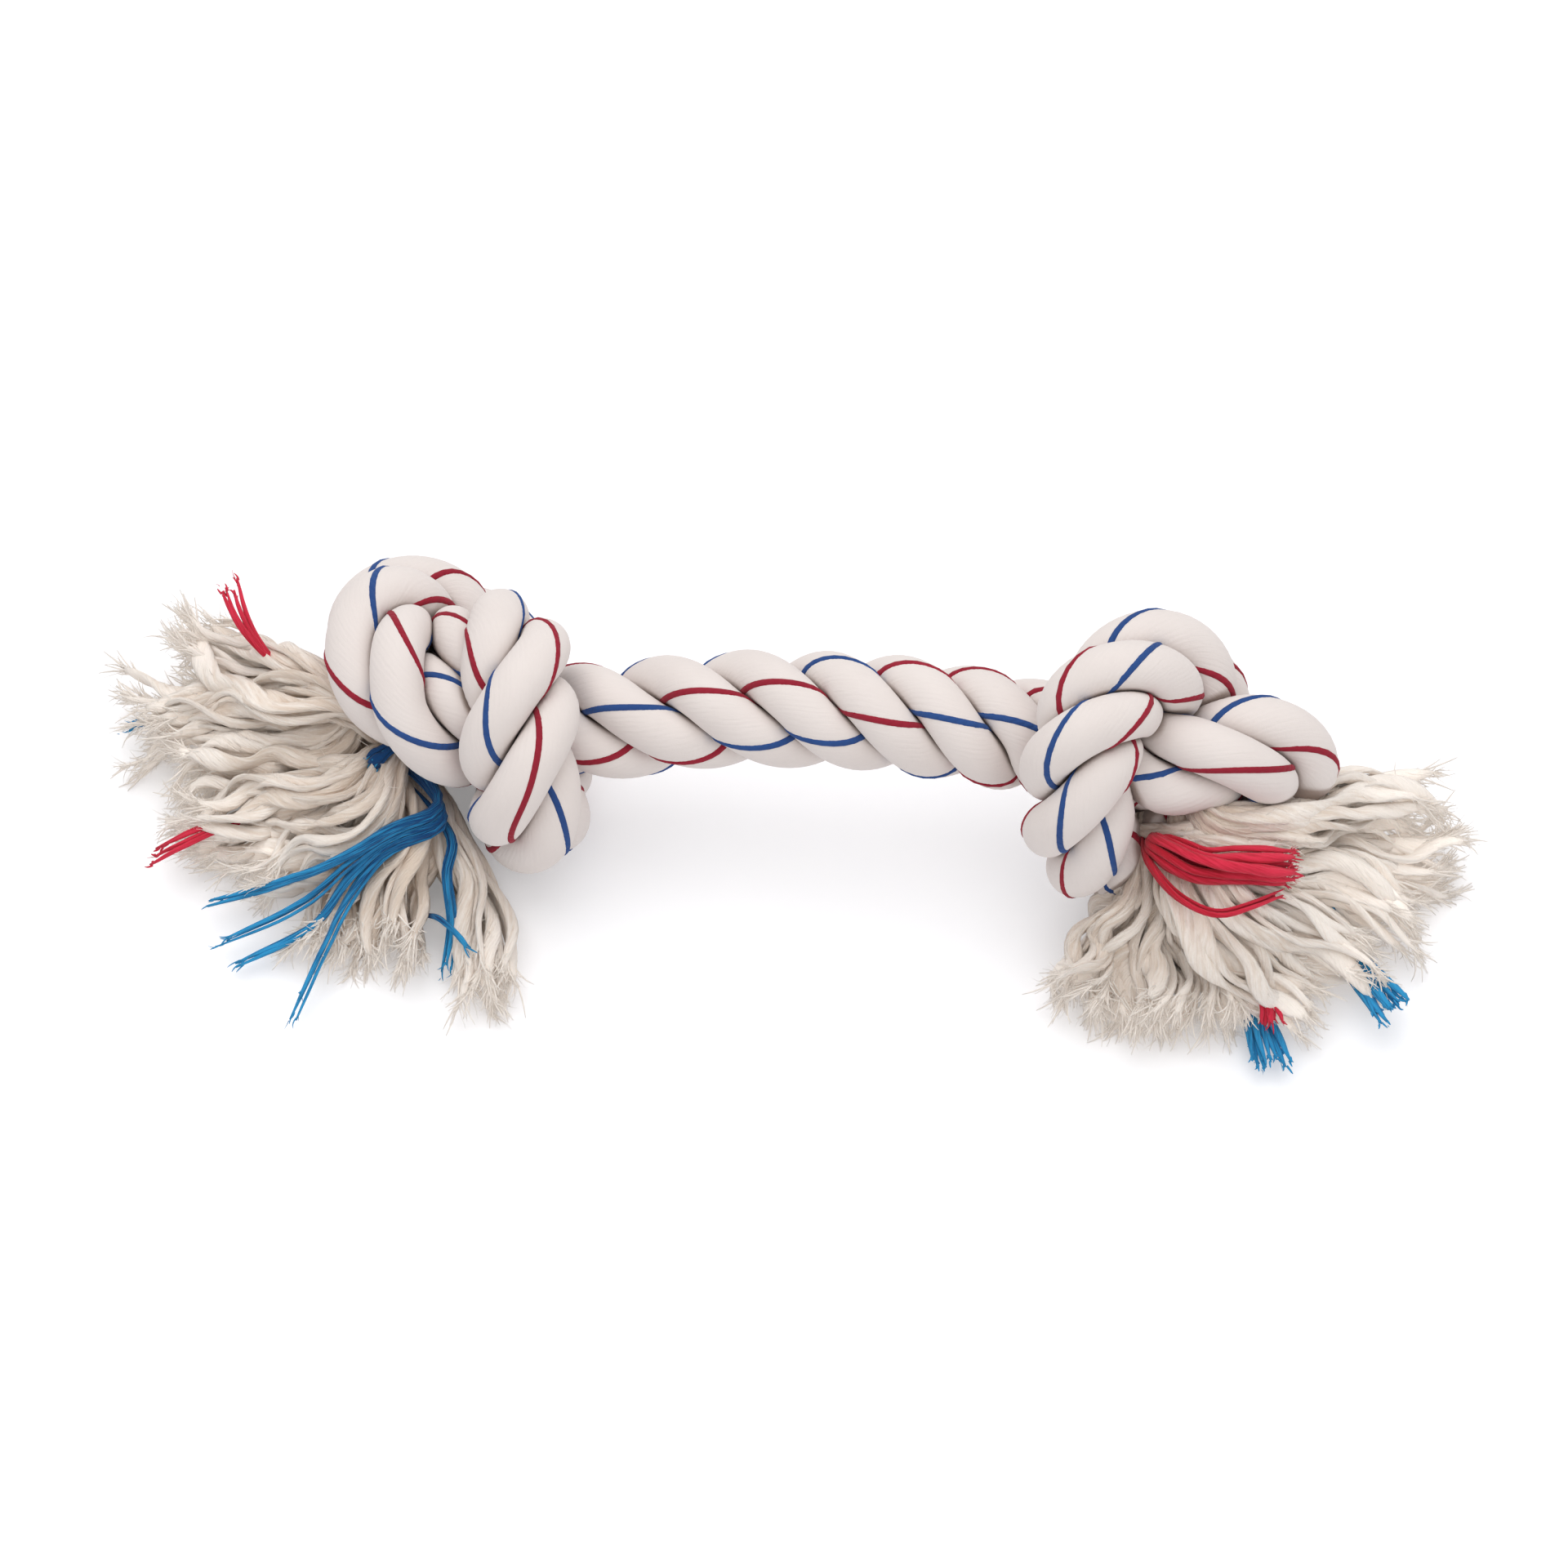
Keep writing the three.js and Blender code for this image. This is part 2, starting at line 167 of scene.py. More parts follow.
# Loose yarns' routes: past each knot the strands come apart into locks of cotton and a few dyed yarns.
# Each route starts on the cut end of one strand, at the same slot and points as in the CAD model.
# Each row: name, strand, turn and share of the radius of its slot, radii, and the points of its route.
SEAT_GAP = 0.3
LOCK_RADII = (2.5, 6.2, 6.4)
WISP_RADII = (2.4, 5, 5.2)
THREAD_RADII = (0.9, 1.3, 1.1)
RED_LOCK_RADII = (1.6, 3.9, 3.4)
RADII_SHARES = (0, 0.4, 1)
TAILS = [
    ("left_yarn_top", 2, 0.05, 0.5, LOCK_RADII,
     [(-91, 27, 26.5), (-104, 33.5, 22), (-125, 46, 12)]),
    ("left_yarn_back", 2, 0.38, 0.5, LOCK_RADII,
     [(-93, 30, 17), (-108, 32.5, 9), (-125, 36.5, 5.5)]),
    ("left_yarn_middle", 2, 0.72, 0.5, LOCK_RADII,
     [(-94.5, 20, 16.5), (-111, 21, 10), (-126.5, 18, 5.5)]),
    ("left_yarn_upper", 0, 0.1, 0.5, LOCK_RADII,
     [(-92.5, 24.5, 26.5), (-113, 29.5, 16.5), (-136, 31, 6)]),
    ("left_yarn_lower", 0, 0.48, 0.5, LOCK_RADII,
     [(-90, 9.5, 19), (-107.5, 7, 11), (-124, 2.5, 5.5)]),
    ("left_yarn_front", 0, 0.81, 0.5, LOCK_RADII,
     [(-84, 3.5, 20), (-96, -1.5, 10.5), (-111, -6.5, 5.5)]),
    ("left_yarn_short", 1, 0.5, 0.5, WISP_RADII,
     [(-84, 9.5, 8), (-91.5, -8.5, 6), (-96.5, -23.5, 5)]),
    ("left_yarn_down", 1, 0.1, 0.5, LOCK_RADII,
     [(-77.5, 2.5, 13.5), (-80, -10, 8), (-82.5, -27, 5)]),
    ("left_yarn_side", 1, 0.74, 0.5, WISP_RADII,
     [(-70.5, 0.5, 12), (-64, -12.5, 6.5), (-60.5, -35.5, 4.5)]),
    ("left_blue_a", 0, 0.92, 0.85, THREAD_RADII,
     [(-72, 4, 25), (-81, -2, 25), (-91, -6.5, 19), (-103.5, -10, 10), (-118, -11.5, 4)]),
    ("left_blue_b", 0, 0.85, 0.85, THREAD_RADII,
     [(-71.5, 1, 23.5), (-81, -4, 22.5), (-90, -8.5, 16.5), (-99, -14, 8.5), (-116, -20, 3)]),
    ("left_blue_c", 0, 0.78, 0.85, THREAD_RADII,
     [(-70, -1, 22), (-81, -5.5, 20), (-89, -10.5, 14), (-96.5, -17.5, 6.5), (-112, -24, 2.5)]),
    ("left_blue_d", 0, 0.71, 0.85, THREAD_RADII,
     [(-69, -3, 20.5), (-80.5, -7.5, 17.5), (-87.5, -13, 13), (-94, -21.5, 8.5), (-102, -38.5, 2.5)]),
    ("left_blue_e", 0, 0.65, 0.95, THREAD_RADII,
     [(-69.5, -2, 18), (-70, -10.5, 15.5), (-69, -19, 9.5), (-70.5, -28, 3)]),
    ("left_red_top", 2, 0.97, 0.85, THREAD_RADII,
     [(-96, 26.5, 35), (-106, 33.5, 33), (-111.5, 37, 33.5), (-115.5, 47.5, 35)]),
    ("left_red_low", 0, 0.36, 0.85, THREAD_RADII,
     [(-92.5, 12.5, 25), (-106.5, 6, 21), (-121, -1, 15), (-131, -2.5, 5)]),
    ("right_yarn_top", 0, 0, 0.5, LOCK_RADII,
     [(89, -11.5, 37), (101, -8, 33.5), (115, 2.5, 22), (129.5, 8.5, 9)]),
    ("right_yarn_upper", 2, 0.62, 0.5, LOCK_RADII,
     [(93.5, -8.5, 19.5), (112, -6, 13), (136.5, -2, 6)]),
    ("right_yarn_middle", 0, 0.67, 0.5, LOCK_RADII,
     [(91.5, -16.5, 30), (108.5, -13.5, 18), (129, -14.5, 6)]),
    ("right_yarn_lower", 0, 0.33, 0.5, LOCK_RADII,
     [(89.5, -24, 28.5), (104, -23.5, 18), (121, -28, 6)]),
    ("right_yarn_front", 1, 0.8, 0.5, LOCK_RADII,
     [(80.5, -22, 28), (93, -31, 16), (106, -35.5, 5.5)]),
    ("right_yarn_short", 2, 0.2, 0.5, WISP_RADII,
     [(81, -21, 18), (87, -29, 8), (92.5, -38.5, 5)]),
    ("right_yarn_down", 1, 0.5, 0.5, LOCK_RADII,
     [(75, -19.5, 15), (75.5, -29.5, 9), (76.5, -41.5, 5.5)]),
    ("right_yarn_side", 1, 0.22, 0.5, LOCK_RADII,
     [(70, -18.5, 18.5), (64.5, -26.5, 10), (59.5, -36, 5.5)]),
    ("right_red_bundle", 1, 0.97, 0.45, RED_LOCK_RADII,
     [(75, -16.5, 37.5), (83.5, -21.5, 38.5), (94, -21, 37), (103, -18.5, 33)]),
    ("right_red_low", 1, 0.09, 0.9, THREAD_RADII,
     [(73.5, -19.5, 36), (79, -27, 35), (86.5, -31, 34), (94, -28.5, 32.5), (101.5, -23, 28.5)]),
    ("right_blue_front", 1, 0.6, 0.85, THREAD_RADII,
     [(84, -14, 9), (92, -24.5, 4), (99, -49.5, 2.5)]),
    ("right_blue_side", 2, 0.45, 0.85, THREAD_RADII,
     [(97, -12, 11), (112, -20.5, 5), (125, -36, 2.5)]),
]

strand_lines = [strand_line(index) for index in range(STRAND_COUNT)]
tubes = []
for letter, line in zip("abc", strand_lines):
    tubes.append({"name": f"strand_{letter}", "line": line, "radii": np.full(len(line), STRAND_RADIUS),
                  "parent": None, "at_left": None})
for name, index, turn_share, out_share, radii, route in TAILS:
    at_left = name.startswith("left")
    strand = strand_lines[index]
    end = strand[0] if at_left else strand[-1]
    heading = -headings_of(strand)[0] if at_left else headings_of(strand)[-1]
    up = unit(np.array([0, 0, 1]) - heading * heading[2])
    side = np.cross(heading, up)
    angle = 2 * np.pi * turn_share
    out = out_share * STRAND_RADIUS
    root = end + heading * SEAT_GAP + out * (np.cos(angle) * up + np.sin(angle) * side)
    line = sample_route([root, root + heading * radii[0], *route], LINE_STEP)
    thickness = np.interp(np.linspace(0, 1, len(line)), RADII_SHARES, radii)
    tubes.append({"name": name, "line": line, "radii": thickness, "parent": index, "at_left": at_left})
press_points = np.vstack([tube["line"] for tube in tubes])
press_radii = np.concatenate([tube["radii"] for tube in tubes])
press_owners = np.concatenate([np.full(len(tube["line"]), number) for number, tube in enumerate(tubes)])
press_places = np.concatenate([distances(tube["line"]) for tube in tubes])

# How soft cotton gives: what counts as near, in radii, and how far in a skin may be pressed, in millimetres
CUT_REACH = 2 * STRAND_RADIUS
OWN_REACH = 2.6
FREE_REACH = 3
LEAST_FACING = 0.02
LEAST_BEND = 1e-6
BEND_SHARE = 0.9
LEAST_REACH = 0.8
SMOOTH_PASSES = 2


def meet_at_cut(number, other_numbers, place, other_places):
    """True where a loose yarn and its own strand meet at the strand's cut end."""
    tube = tubes[number]
    if tube["parent"] is not None:
        from_cut = other_places
        if not tube["at_left"]:
            from_cut = distances(tubes[tube["parent"]]["line"])[-1] - other_places
        return (other_numbers == tube["parent"]) & (from_cut < CUT_REACH)
    children = [i for i, other in enumerate(tubes) if other["parent"] == number]
    length = distances(tube["line"])[-1]
    near = [i for i in children if (place if tubes[i]["at_left"] else length - place) < CUT_REACH]
    return np.isin(other_numbers, near)


def smooth_steps(values, passes):
    """Rounds off a list of values by averaging neighbours."""
    for _ in range(passes):
        inner = 0.25 * values[:-2] + 0.5 * values[1:-1] + 0.25 * values[2:]
        values = np.concatenate([values[:1], inner, values[-1:]])
    return values


def pressed_reach(number, across_frames, side_count, firmness):
    """How far a tube's skin stands from its middle: less where a neighbour presses on it."""
    tube = tubes[number]
    line = tube["line"]
    along = distances(line)
    first, second = across_frames
    angles = np.linspace(0, 2 * np.pi, side_count, endpoint=False)
    spacing = along[-1] / (len(line) - 1)
    bend = np.zeros_like(line)
    bend[1:-1] = (line[:-2] + line[2:] - 2 * line[1:-1]) / spacing**2
    reach = np.zeros((len(line), side_count))
    for i, centre in enumerate(line):
        radius = tube["radii"][i]
        directions = np.cos(angles)[:, None] * first[i] + np.sin(angles)[:, None] * second[i]
        away = press_points - centre
        apart = np.linalg.norm(away, axis=1)
        near = apart < 2 * radius + press_radii
        near &= ~((press_owners == number) & (np.abs(press_places - along[i]) < OWN_REACH * radius))
        near[near] = ~meet_at_cut(number, press_owners[near], along[i], press_places[near])
        limit = np.full(side_count, FREE_REACH * radius)
        if near.any():
            facing = np.maximum(directions @ away[near].T / apart[near], LEAST_FACING)
            wall = apart[near] * radius / (radius + press_radii[near])
            limit = np.minimum(limit, np.min(wall / facing, axis=1))
        inward = np.maximum(directions @ bend[i], LEAST_BEND)
        limit = np.maximum(np.minimum(limit, BEND_SHARE / inward), LEAST_REACH)
        reach[i] = (radius**-firmness + limit**-firmness) ** (-1 / firmness)
    for _ in range(SMOOTH_PASSES):
        reach = 0.5 * reach + 0.25 * np.roll(reach, 1, axis=1) + 0.25 * np.roll(reach, -1, axis=1)
        reach = smooth_steps(reach, SMOOTH_PASSES)
    return reach


# Cotton strands: three fat strands of undyed cotton yarn, twisted, laid together and knotted by hand.
# Each is pressed flat where it touches a neighbour, and its seams there are darkened with painted shade.
# Its UVs follow the yarns twisted inside it, once round and ten millimetres along for each whole step.
SKIN_SIDES = 48
SKIN_FIRMNESS = 9.0
YARN_TURNS_PER_LAY = 2.355
TURN_SMOOTHING = 20
UV_LENGTH = 10
FLOOR_CLEARANCE = 0.1
STRAND_WEAVE = {"Lines": 26, "Slant": 0, "Ridge": 0.3, "Streak": 1.4, "Fuzz": 0.6}
STRAND_LIGHT = (0.78, 0.715, 0.685)
STRAND_DARK = (0.72, 0.65, 0.62)
STRAND_RELIEF = 0.14 * MM
STRAND_SHEEN = 0.15
# Painted shade for the pressed seams, and how deep a skin must be pressed in to take it
SEAM_SHADE_COLOR = (0.28, 0.19, 0.15)
SEAM_SHADE_DEPTHS = {"From Min": 0.32, "From Max": 0.68, "To Max": 0.75}
COTTON_SURFACE = {"Roughness": 0.95, "Specular IOR Level": 0.15, "Sheen Roughness": 0.6}
BUMP_STRENGTH = 0.6

# The combed yarn itself: how its lines wander, its drawn-out streaks, its fuzz and its soft patches
WANDER_NOISE = {"Scale": 160.0, "Detail": 2.0}
WANDER_SIZE = 1.6
STREAK_NOISE = {"Scale": 1.6, "Detail": 4.0, "Roughness": 0.65}
STREAK_STRETCH = 0.7
FUZZ_NOISE = {"Scale": 1400.0, "Detail": 4.0, "Roughness": 0.6}
PATCH_NOISE = {"Scale": 90.0, "Detail": 3.0}

# Where handling has turned a strand about its own middle: share of the rope's length, then turns
HAND_TURNS = (
    [(0, 0.13), (0.119, 0.13), (0.137, 0.45), (0.3, 0.2), (0.467, 0.06), (0.485, 0.01), (0.541, 0.12),
     (0.555, 0.09), (0.638, -0.42), (0.812, -0.3), (0.826, -0.34), (0.882, -0.13), (0.893, -0.21),
     (0.908, -0.4)],
    [(0, 0.4), (0.09, 0.42), (0.334, 0.12), (0.355, -0.04), (0.44, -0.01), (0.531, 0), (0.667, -0.27),
     (0.681, -0.34), (0.864, -0.13), (0.881, -0.1)],
    [(0, 0.28), (0.083, 0.28), (0.137, 0.58), (0.164, 0.69), (0.294, 1.04), (0.315, 1.07), (0.335, 0.96),
     (0.426, 1.14), (0.496, 1.02), (0.511, 0.98), (0.575, 1.05), (0.66, 1.06), (0.845, 1.39),
     (0.863, 1.29), (0.927, 1.49)],
)


def outward_frames(index):
    """For each point of a strand, the way out from the rope's middle, and the way across."""
    heading = headings_of(strand_lines[index])
    out = square_to(strand_lines[index] - rope_line, heading)
    return out, np.cross(heading, out)


def make_mesh(name, vertices, faces, uvs):
    """A smooth mesh from points in part millimetres, with one UV for each face corner."""
    mesh = bpy.data.meshes.new(name)
    placed = (np.asarray(vertices) + ORIGIN_SHIFT) * MM
    mesh.from_pydata(placed.tolist(), [], faces)
    mesh.polygons.foreach_set("use_smooth", [True] * len(mesh.polygons))
    layer = mesh.uv_layers.new(name="yarn")
    layer.data.foreach_set("uv", np.asarray(uvs, float).ravel())
    mesh.update()
    piece = bpy.data.objects.new(name, mesh)
    bpy.context.scene.collection.objects.link(piece)
    return piece


def set_point_values(piece, name, values):
    layer = piece.data.attributes.new(name, "FLOAT", "POINT")
    layer.data.foreach_set("value", values)


def tube_faces(rings, sides, first=0):
    """Faces of a closed tube of rings, and for each face corner its side and its ring."""
    faces = []
    steps = []
    for i in range(rings - 1):
        for k in range(sides):
            a = first + i * sides + k
            b = first + i * sides + (k + 1) % sides
            faces.append((a, b, b + sides, a + sides))
            steps += [(k, i), (k + 1, i), (k + 1, i + 1), (k, i + 1)]
    last = first + (rings - 1) * sides
    faces.append(tuple(first + k for k in reversed(range(sides))))
    steps += [(k, 0) for k in reversed(range(sides))]
    faces.append(tuple(last + k for k in range(sides)))
    steps += [(k, rings - 1) for k in range(sides)]
    return faces, np.array(steps)


def add_node(tree, kind, values=None, **settings):
    node = tree.nodes.new(kind)
    for key, value in settings.items():
        setattr(node, key, value)
    for socket, value in (values or {}).items():
        node.inputs[socket].default_value = value
    return node


def make_combed_group():
    """Combed, twisted cotton along a piece's own UVs: its height and streaks, and soft larger patches."""
    tree = bpy.data.node_groups.new("combed_cotton", "ShaderNodeTree")
    for socket in ("Lines", "Slant", "Ridge", "Streak", "Fuzz"):
        tree.interface.new_socket(socket, in_out="INPUT", socket_type="NodeSocketFloat")
    for socket in ("Height", "Streaks", "Patch"):
        tree.interface.new_socket(socket, in_out="OUTPUT", socket_type="NodeSocketFloat")
    given = add_node(tree, "NodeGroupInput")
    result = add_node(tree, "NodeGroupOutput")
    uv = add_node(tree, "ShaderNodeUVMap", uv_map="yarn")
    split = add_node(tree, "ShaderNodeSeparateXYZ")
    across = add_node(tree, "ShaderNodeMath", operation="MULTIPLY")
    total = add_node(tree, "ShaderNodeMath", operation="MULTIPLY_ADD")
    place = add_node(tree, "ShaderNodeTexCoord")
    wander = add_node(tree, "ShaderNodeTexNoise", WANDER_NOISE)
    shifted = add_node(tree, "ShaderNodeMath", {1: WANDER_SIZE}, operation="MULTIPLY_ADD")
    turns = add_node(tree, "ShaderNodeMath", {1: math.pi}, operation="MULTIPLY")
    ripple = add_node(tree, "ShaderNodeMath", operation="SINE")
    ridge = add_node(tree, "ShaderNodeMath", operation="ABSOLUTE")
    drawn_out = add_node(tree, "ShaderNodeMath", {1: STREAK_STRETCH}, operation="MULTIPLY")
    combed = add_node(tree, "ShaderNodeCombineXYZ")
    streaks = add_node(tree, "ShaderNodeTexNoise", STREAK_NOISE)
    fuzz = add_node(tree, "ShaderNodeTexNoise", FUZZ_NOISE)
    patch = add_node(tree, "ShaderNodeTexNoise", PATCH_NOISE)
    ridge_part = add_node(tree, "ShaderNodeMath", operation="MULTIPLY")
    streak_part = add_node(tree, "ShaderNodeMath", operation="MULTIPLY_ADD")
    height = add_node(tree, "ShaderNodeMath", operation="MULTIPLY_ADD")
    link = tree.links.new
    link(uv.outputs["UV"], split.inputs["Vector"])
    link(split.outputs["X"], across.inputs[0])
    link(given.outputs["Lines"], across.inputs[1])
    link(split.outputs["Y"], total.inputs[0])
    link(given.outputs["Slant"], total.inputs[1])
    link(across.outputs[0], total.inputs[2])
    link(place.outputs["Object"], wander.inputs["Vector"])
    link(wander.outputs["Fac"], shifted.inputs[0])
    link(total.outputs[0], shifted.inputs[2])
    link(shifted.outputs[0], turns.inputs[0])
    link(turns.outputs[0], ripple.inputs[0])
    link(ripple.outputs[0], ridge.inputs[0])
    link(split.outputs["Y"], drawn_out.inputs[0])
    link(total.outputs[0], combed.inputs["X"])
    link(drawn_out.outputs[0], combed.inputs["Y"])
    link(combed.outputs["Vector"], streaks.inputs["Vector"])
    link(place.outputs["Object"], fuzz.inputs["Vector"])
    link(place.outputs["Object"], patch.inputs["Vector"])
    link(ridge.outputs[0], ridge_part.inputs[0])
    link(given.outputs["Ridge"], ridge_part.inputs[1])
    link(streaks.outputs["Fac"], streak_part.inputs[0])
    link(given.outputs["Streak"], streak_part.inputs[1])
    link(ridge_part.outputs[0], streak_part.inputs[2])
    link(fuzz.outputs["Fac"], height.inputs[0])
    link(given.outputs["Fuzz"], height.inputs[1])
    link(streak_part.outputs[0], height.inputs[2])
    link(height.outputs[0], result.inputs["Height"])
    link(streaks.outputs["Fac"], result.inputs["Streaks"])
    link(patch.outputs["Fac"], result.inputs["Patch"])
    return tree


combed_group = make_combed_group()


def make_cotton(name, light, dark, weave, relief, sheen):
    """Matt cotton: two close tones in soft patches, with the yarn's combed fibres as relief.

    Returns the material, and its nodes for the combed fibres and for the two tones."""
    material = bpy.data.materials.new(name)
    material.use_nodes = True
    tree = material.node_tree
    shader = tree.nodes["Principled BSDF"]
    for socket, value in {**COTTON_SURFACE, "Sheen Weight": sheen}.items():
        shader.inputs[socket].default_value = value
    combed = add_node(tree, "ShaderNodeGroup", weave, node_tree=combed_group)
    tones = add_node(tree, "ShaderNodeMix", {"A": (*light, 1), "B": (*dark, 1)}, data_type="RGBA")
    bump = add_node(tree, "ShaderNodeBump", {"Strength": BUMP_STRENGTH, "Distance": relief})
    link = tree.links.new
    link(combed.outputs["Patch"], tones.inputs["Factor"])
    link(tones.outputs["Result"], shader.inputs["Base Color"])
    link(combed.outputs["Height"], bump.inputs["Height"])
    link(bump.outputs["Normal"], shader.inputs["Normal"])
    return material, combed, tones


strand_cotton, _, strand_tones = make_cotton(
    "undyed_strand_cotton", STRAND_LIGHT, STRAND_DARK, STRAND_WEAVE, STRAND_RELIEF, STRAND_SHEEN)
strand_tree = strand_cotton.node_tree
# Painted shade: the deeper a skin is pressed in, the more its colour is darkened towards the seam colour.
depth = add_node(strand_tree, "ShaderNodeAttribute", attribute_name="pressed_depth")
seam_shade = add_node(strand_tree, "ShaderNodeMapRange", SEAM_SHADE_DEPTHS)
seam_shaded = add_node(strand_tree, "ShaderNodeMix", {"B": (*SEAM_SHADE_COLOR, 1)}, data_type="RGBA")
strand_tree.links.new(depth.outputs["Fac"], seam_shade.inputs["Value"])
strand_tree.links.new(seam_shade.outputs["Result"], seam_shaded.inputs["Factor"])
strand_tree.links.new(strand_tones.outputs["Result"], seam_shaded.inputs["A"])
strand_tree.links.new(seam_shaded.outputs["Result"], strand_tree.nodes["Principled BSDF"].inputs["Base Color"])

strand_reaches = []
strand_turns = []
for index, line in enumerate(strand_lines):
    letter = "abc"[index]
    out, across = outward_frames(index)
    reach = pressed_reach(index, (out, across), SKIN_SIDES, SKIN_FIRMNESS)
    strand_reaches.append(reach)
    angles = np.linspace(0, 2 * np.pi, SKIN_SIDES, endpoint=False)[None, :, None]
    around = np.cos(angles) * out[:, None] + np.sin(angles) * across[:, None]
    skin = (line[:, None] + reach[:, :, None] * around).reshape(-1, 3)
    skin[:, 2] = np.maximum(skin[:, 2], FLOOR_CLEARANCE)
    faces, steps = tube_faces(len(line), SKIN_SIDES)
    hand_turns = smooth_steps(np.interp(rope_shares, *zip(*HAND_TURNS[index])), TURN_SMOOTHING)
    turns = hand_turns - YARN_TURNS_PER_LAY * lay_turns
    strand_turns.append(turns)
    uv_across = steps[:, 0] / SKIN_SIDES - turns[steps[:, 1]]
    uvs = np.stack([uv_across, distances(line)[steps[:, 1]] / UV_LENGTH], axis=1)
    strand = make_mesh(f"cotton_strand_{letter}", skin, faces, uvs)
    set_point_values(strand, "pressed_depth", (STRAND_RADIUS - reach).ravel())
    strand.data.materials.append(strand_cotton)
    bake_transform(strand)
    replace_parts(strand, f"strand_{letter}_left", f"strand_{letter}_link", f"strand_{letter}_right")


# Accent yarns: one red and one blue cotton yarn lie on the surface of each strand, worked in with its
# other yarns when it was twisted, and wind round it with them. They are pressed a little into it.
ACCENT_RADIUS = 0.8
ACCENT_HEIGHT = 0.6
ACCENT_SINK = 0.28
ACCENT_SIDES = 8
ACCENT_WEAVE = {"Lines": 2, "Slant": 5, "Ridge": 1, "Streak": 0.5, "Fuzz": 0.3}
ACCENT_RELIEF = 0.2 * MM
ACCENT_SHEEN = 0.05
ACCENT_TONES = {
    "red": ((0.33, 0.02, 0.04), (0.24, 0.012, 0.026)),
    "blue": ((0.03, 0.09, 0.28), (0.02, 0.05, 0.18)),
}
RED_START_ANGLES = (math.radians(238), math.radians(310), math.radians(323))
BLUE_LAGS = (math.radians(155), math.radians(192), math.radians(155))

accent_cottons = {}
for color, (light, dark) in ACCENT_TONES.items():
    accent_cottons[color], _, _ = make_cotton(
        f"{color}_accent_yarn", light, dark, ACCENT_WEAVE, ACCENT_RELIEF, ACCENT_SHEEN)

for index, middle in enumerate(strand_lines):
    out, across = outward_frames(index)
    for color, lag in (("red", 0), ("blue", BLUE_LAGS[index])):
        angle = lag - RED_START_ANGLES[index] + 2 * np.pi * strand_turns[index]
        place = (angle / (2 * np.pi)) % 1 * SKIN_SIDES
        side = np.floor(place).astype(int)
        rest = place - side
        rows = np.arange(len(angle))
        reach = strand_reaches[index]
        reach = reach[rows, side % SKIN_SIDES] * (1 - rest) + reach[rows, (side + 1) % SKIN_SIDES] * rest
        lift = np.cos(angle)[:, None] * out + np.sin(angle)[:, None] * across
        line = middle + lift * (reach - ACCENT_SINK)[:, None]
        line[:, 2] = np.maximum(line[:, 2], ACCENT_HEIGHT)
        heading = headings_of(line)
        lift = square_to(lift, heading)
        sideways = np.cross(heading, lift)
        turn = np.linspace(0, 2 * np.pi, ACCENT_SIDES, endpoint=False)[None, :, None]
        around = ACCENT_HEIGHT * np.cos(turn) * lift[:, None]
        around = around + ACCENT_RADIUS * np.sin(turn) * sideways[:, None]
        skin = (line[:, None] + around).reshape(-1, 3)
        skin[:, 2] = np.maximum(skin[:, 2], 0)
        faces, steps = tube_faces(len(line), ACCENT_SIDES)
        uvs = np.stack([steps[:, 0] / ACCENT_SIDES, distances(line)[steps[:, 1]] / UV_LENGTH], axis=1)
        accent = make_mesh(f"{color}_accent_yarn_{'abc'[index]}", skin, faces, uvs)
        accent.data.materials.append(accent_cottons[color])
        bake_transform(accent)


# Tassels: the strands' own yarns, loose past each knot: soft flat bands of combed cotton, crimped by the
# lay they came out of, that split and fluff at their cut tips. Thin dyed yarns stand out between them.
BAND_SIDES = 8
BAND_RINGS = 28
REACH_SIDES = 12
LOCK_FIRMNESS = 6.0
LAY_GROUPS = 6
SEED = 7
GOLDEN_ANGLE = math.radians(137.5)

# How a band runs from its root to its tip: shares of its length, and what it has there
WAVE_STEPS = 40
WAVE_SHARES = np.linspace(0, 1, WAVE_STEPS)
SWELL_SHARES = (0, 0.2, 0.85, 0.93, 1)
SWELLS = (0.7, 1, 1.05, 0.8, 0.3)
FREE_SHARES = (0, 0.25, 1)
FREEDOM = (0.1, 0.8, 1.1)
LOOSE_SHARES = (0, 0.2, 1)
LOOSENESS = (0.1, 0.6, 1.1)
FILL_SHARES = (0, 0.15, 0.4, 1)
FILLS = (1.3, 1, 1.1, 1.2)
TONE_SHARES = (0, 0.4, 0.7, 1)

# How much one band may differ from the next: least and most, or the values to choose from
LAY_CYCLES = (1.3, 2.4)
BAND_TURNS = (0.6, 1.2)
BEND_CYCLES = (0.8, 1.6)
BEND_SIZES = (0.6, 1, 1, 2.5)
CRIMP_CYCLES = (4, 6)
NARROWEST = 0.7
UNEVENNESS = 0.3
PALEST = 0.2
TONE_SPREAD = 0.5
UV_SHIFT = 40

# Where bands lie: the gathered width of a flat tuft and where it fans out, the room that a band takes
# up and the least that it has, and how far it rolls
TUFT_WIDTH = 0.5
FAN_LEAD = 0.1
BAND_ROOM = 0.8
LEAST_ROOM = 0.3
ROLL_SHARE = 0.5

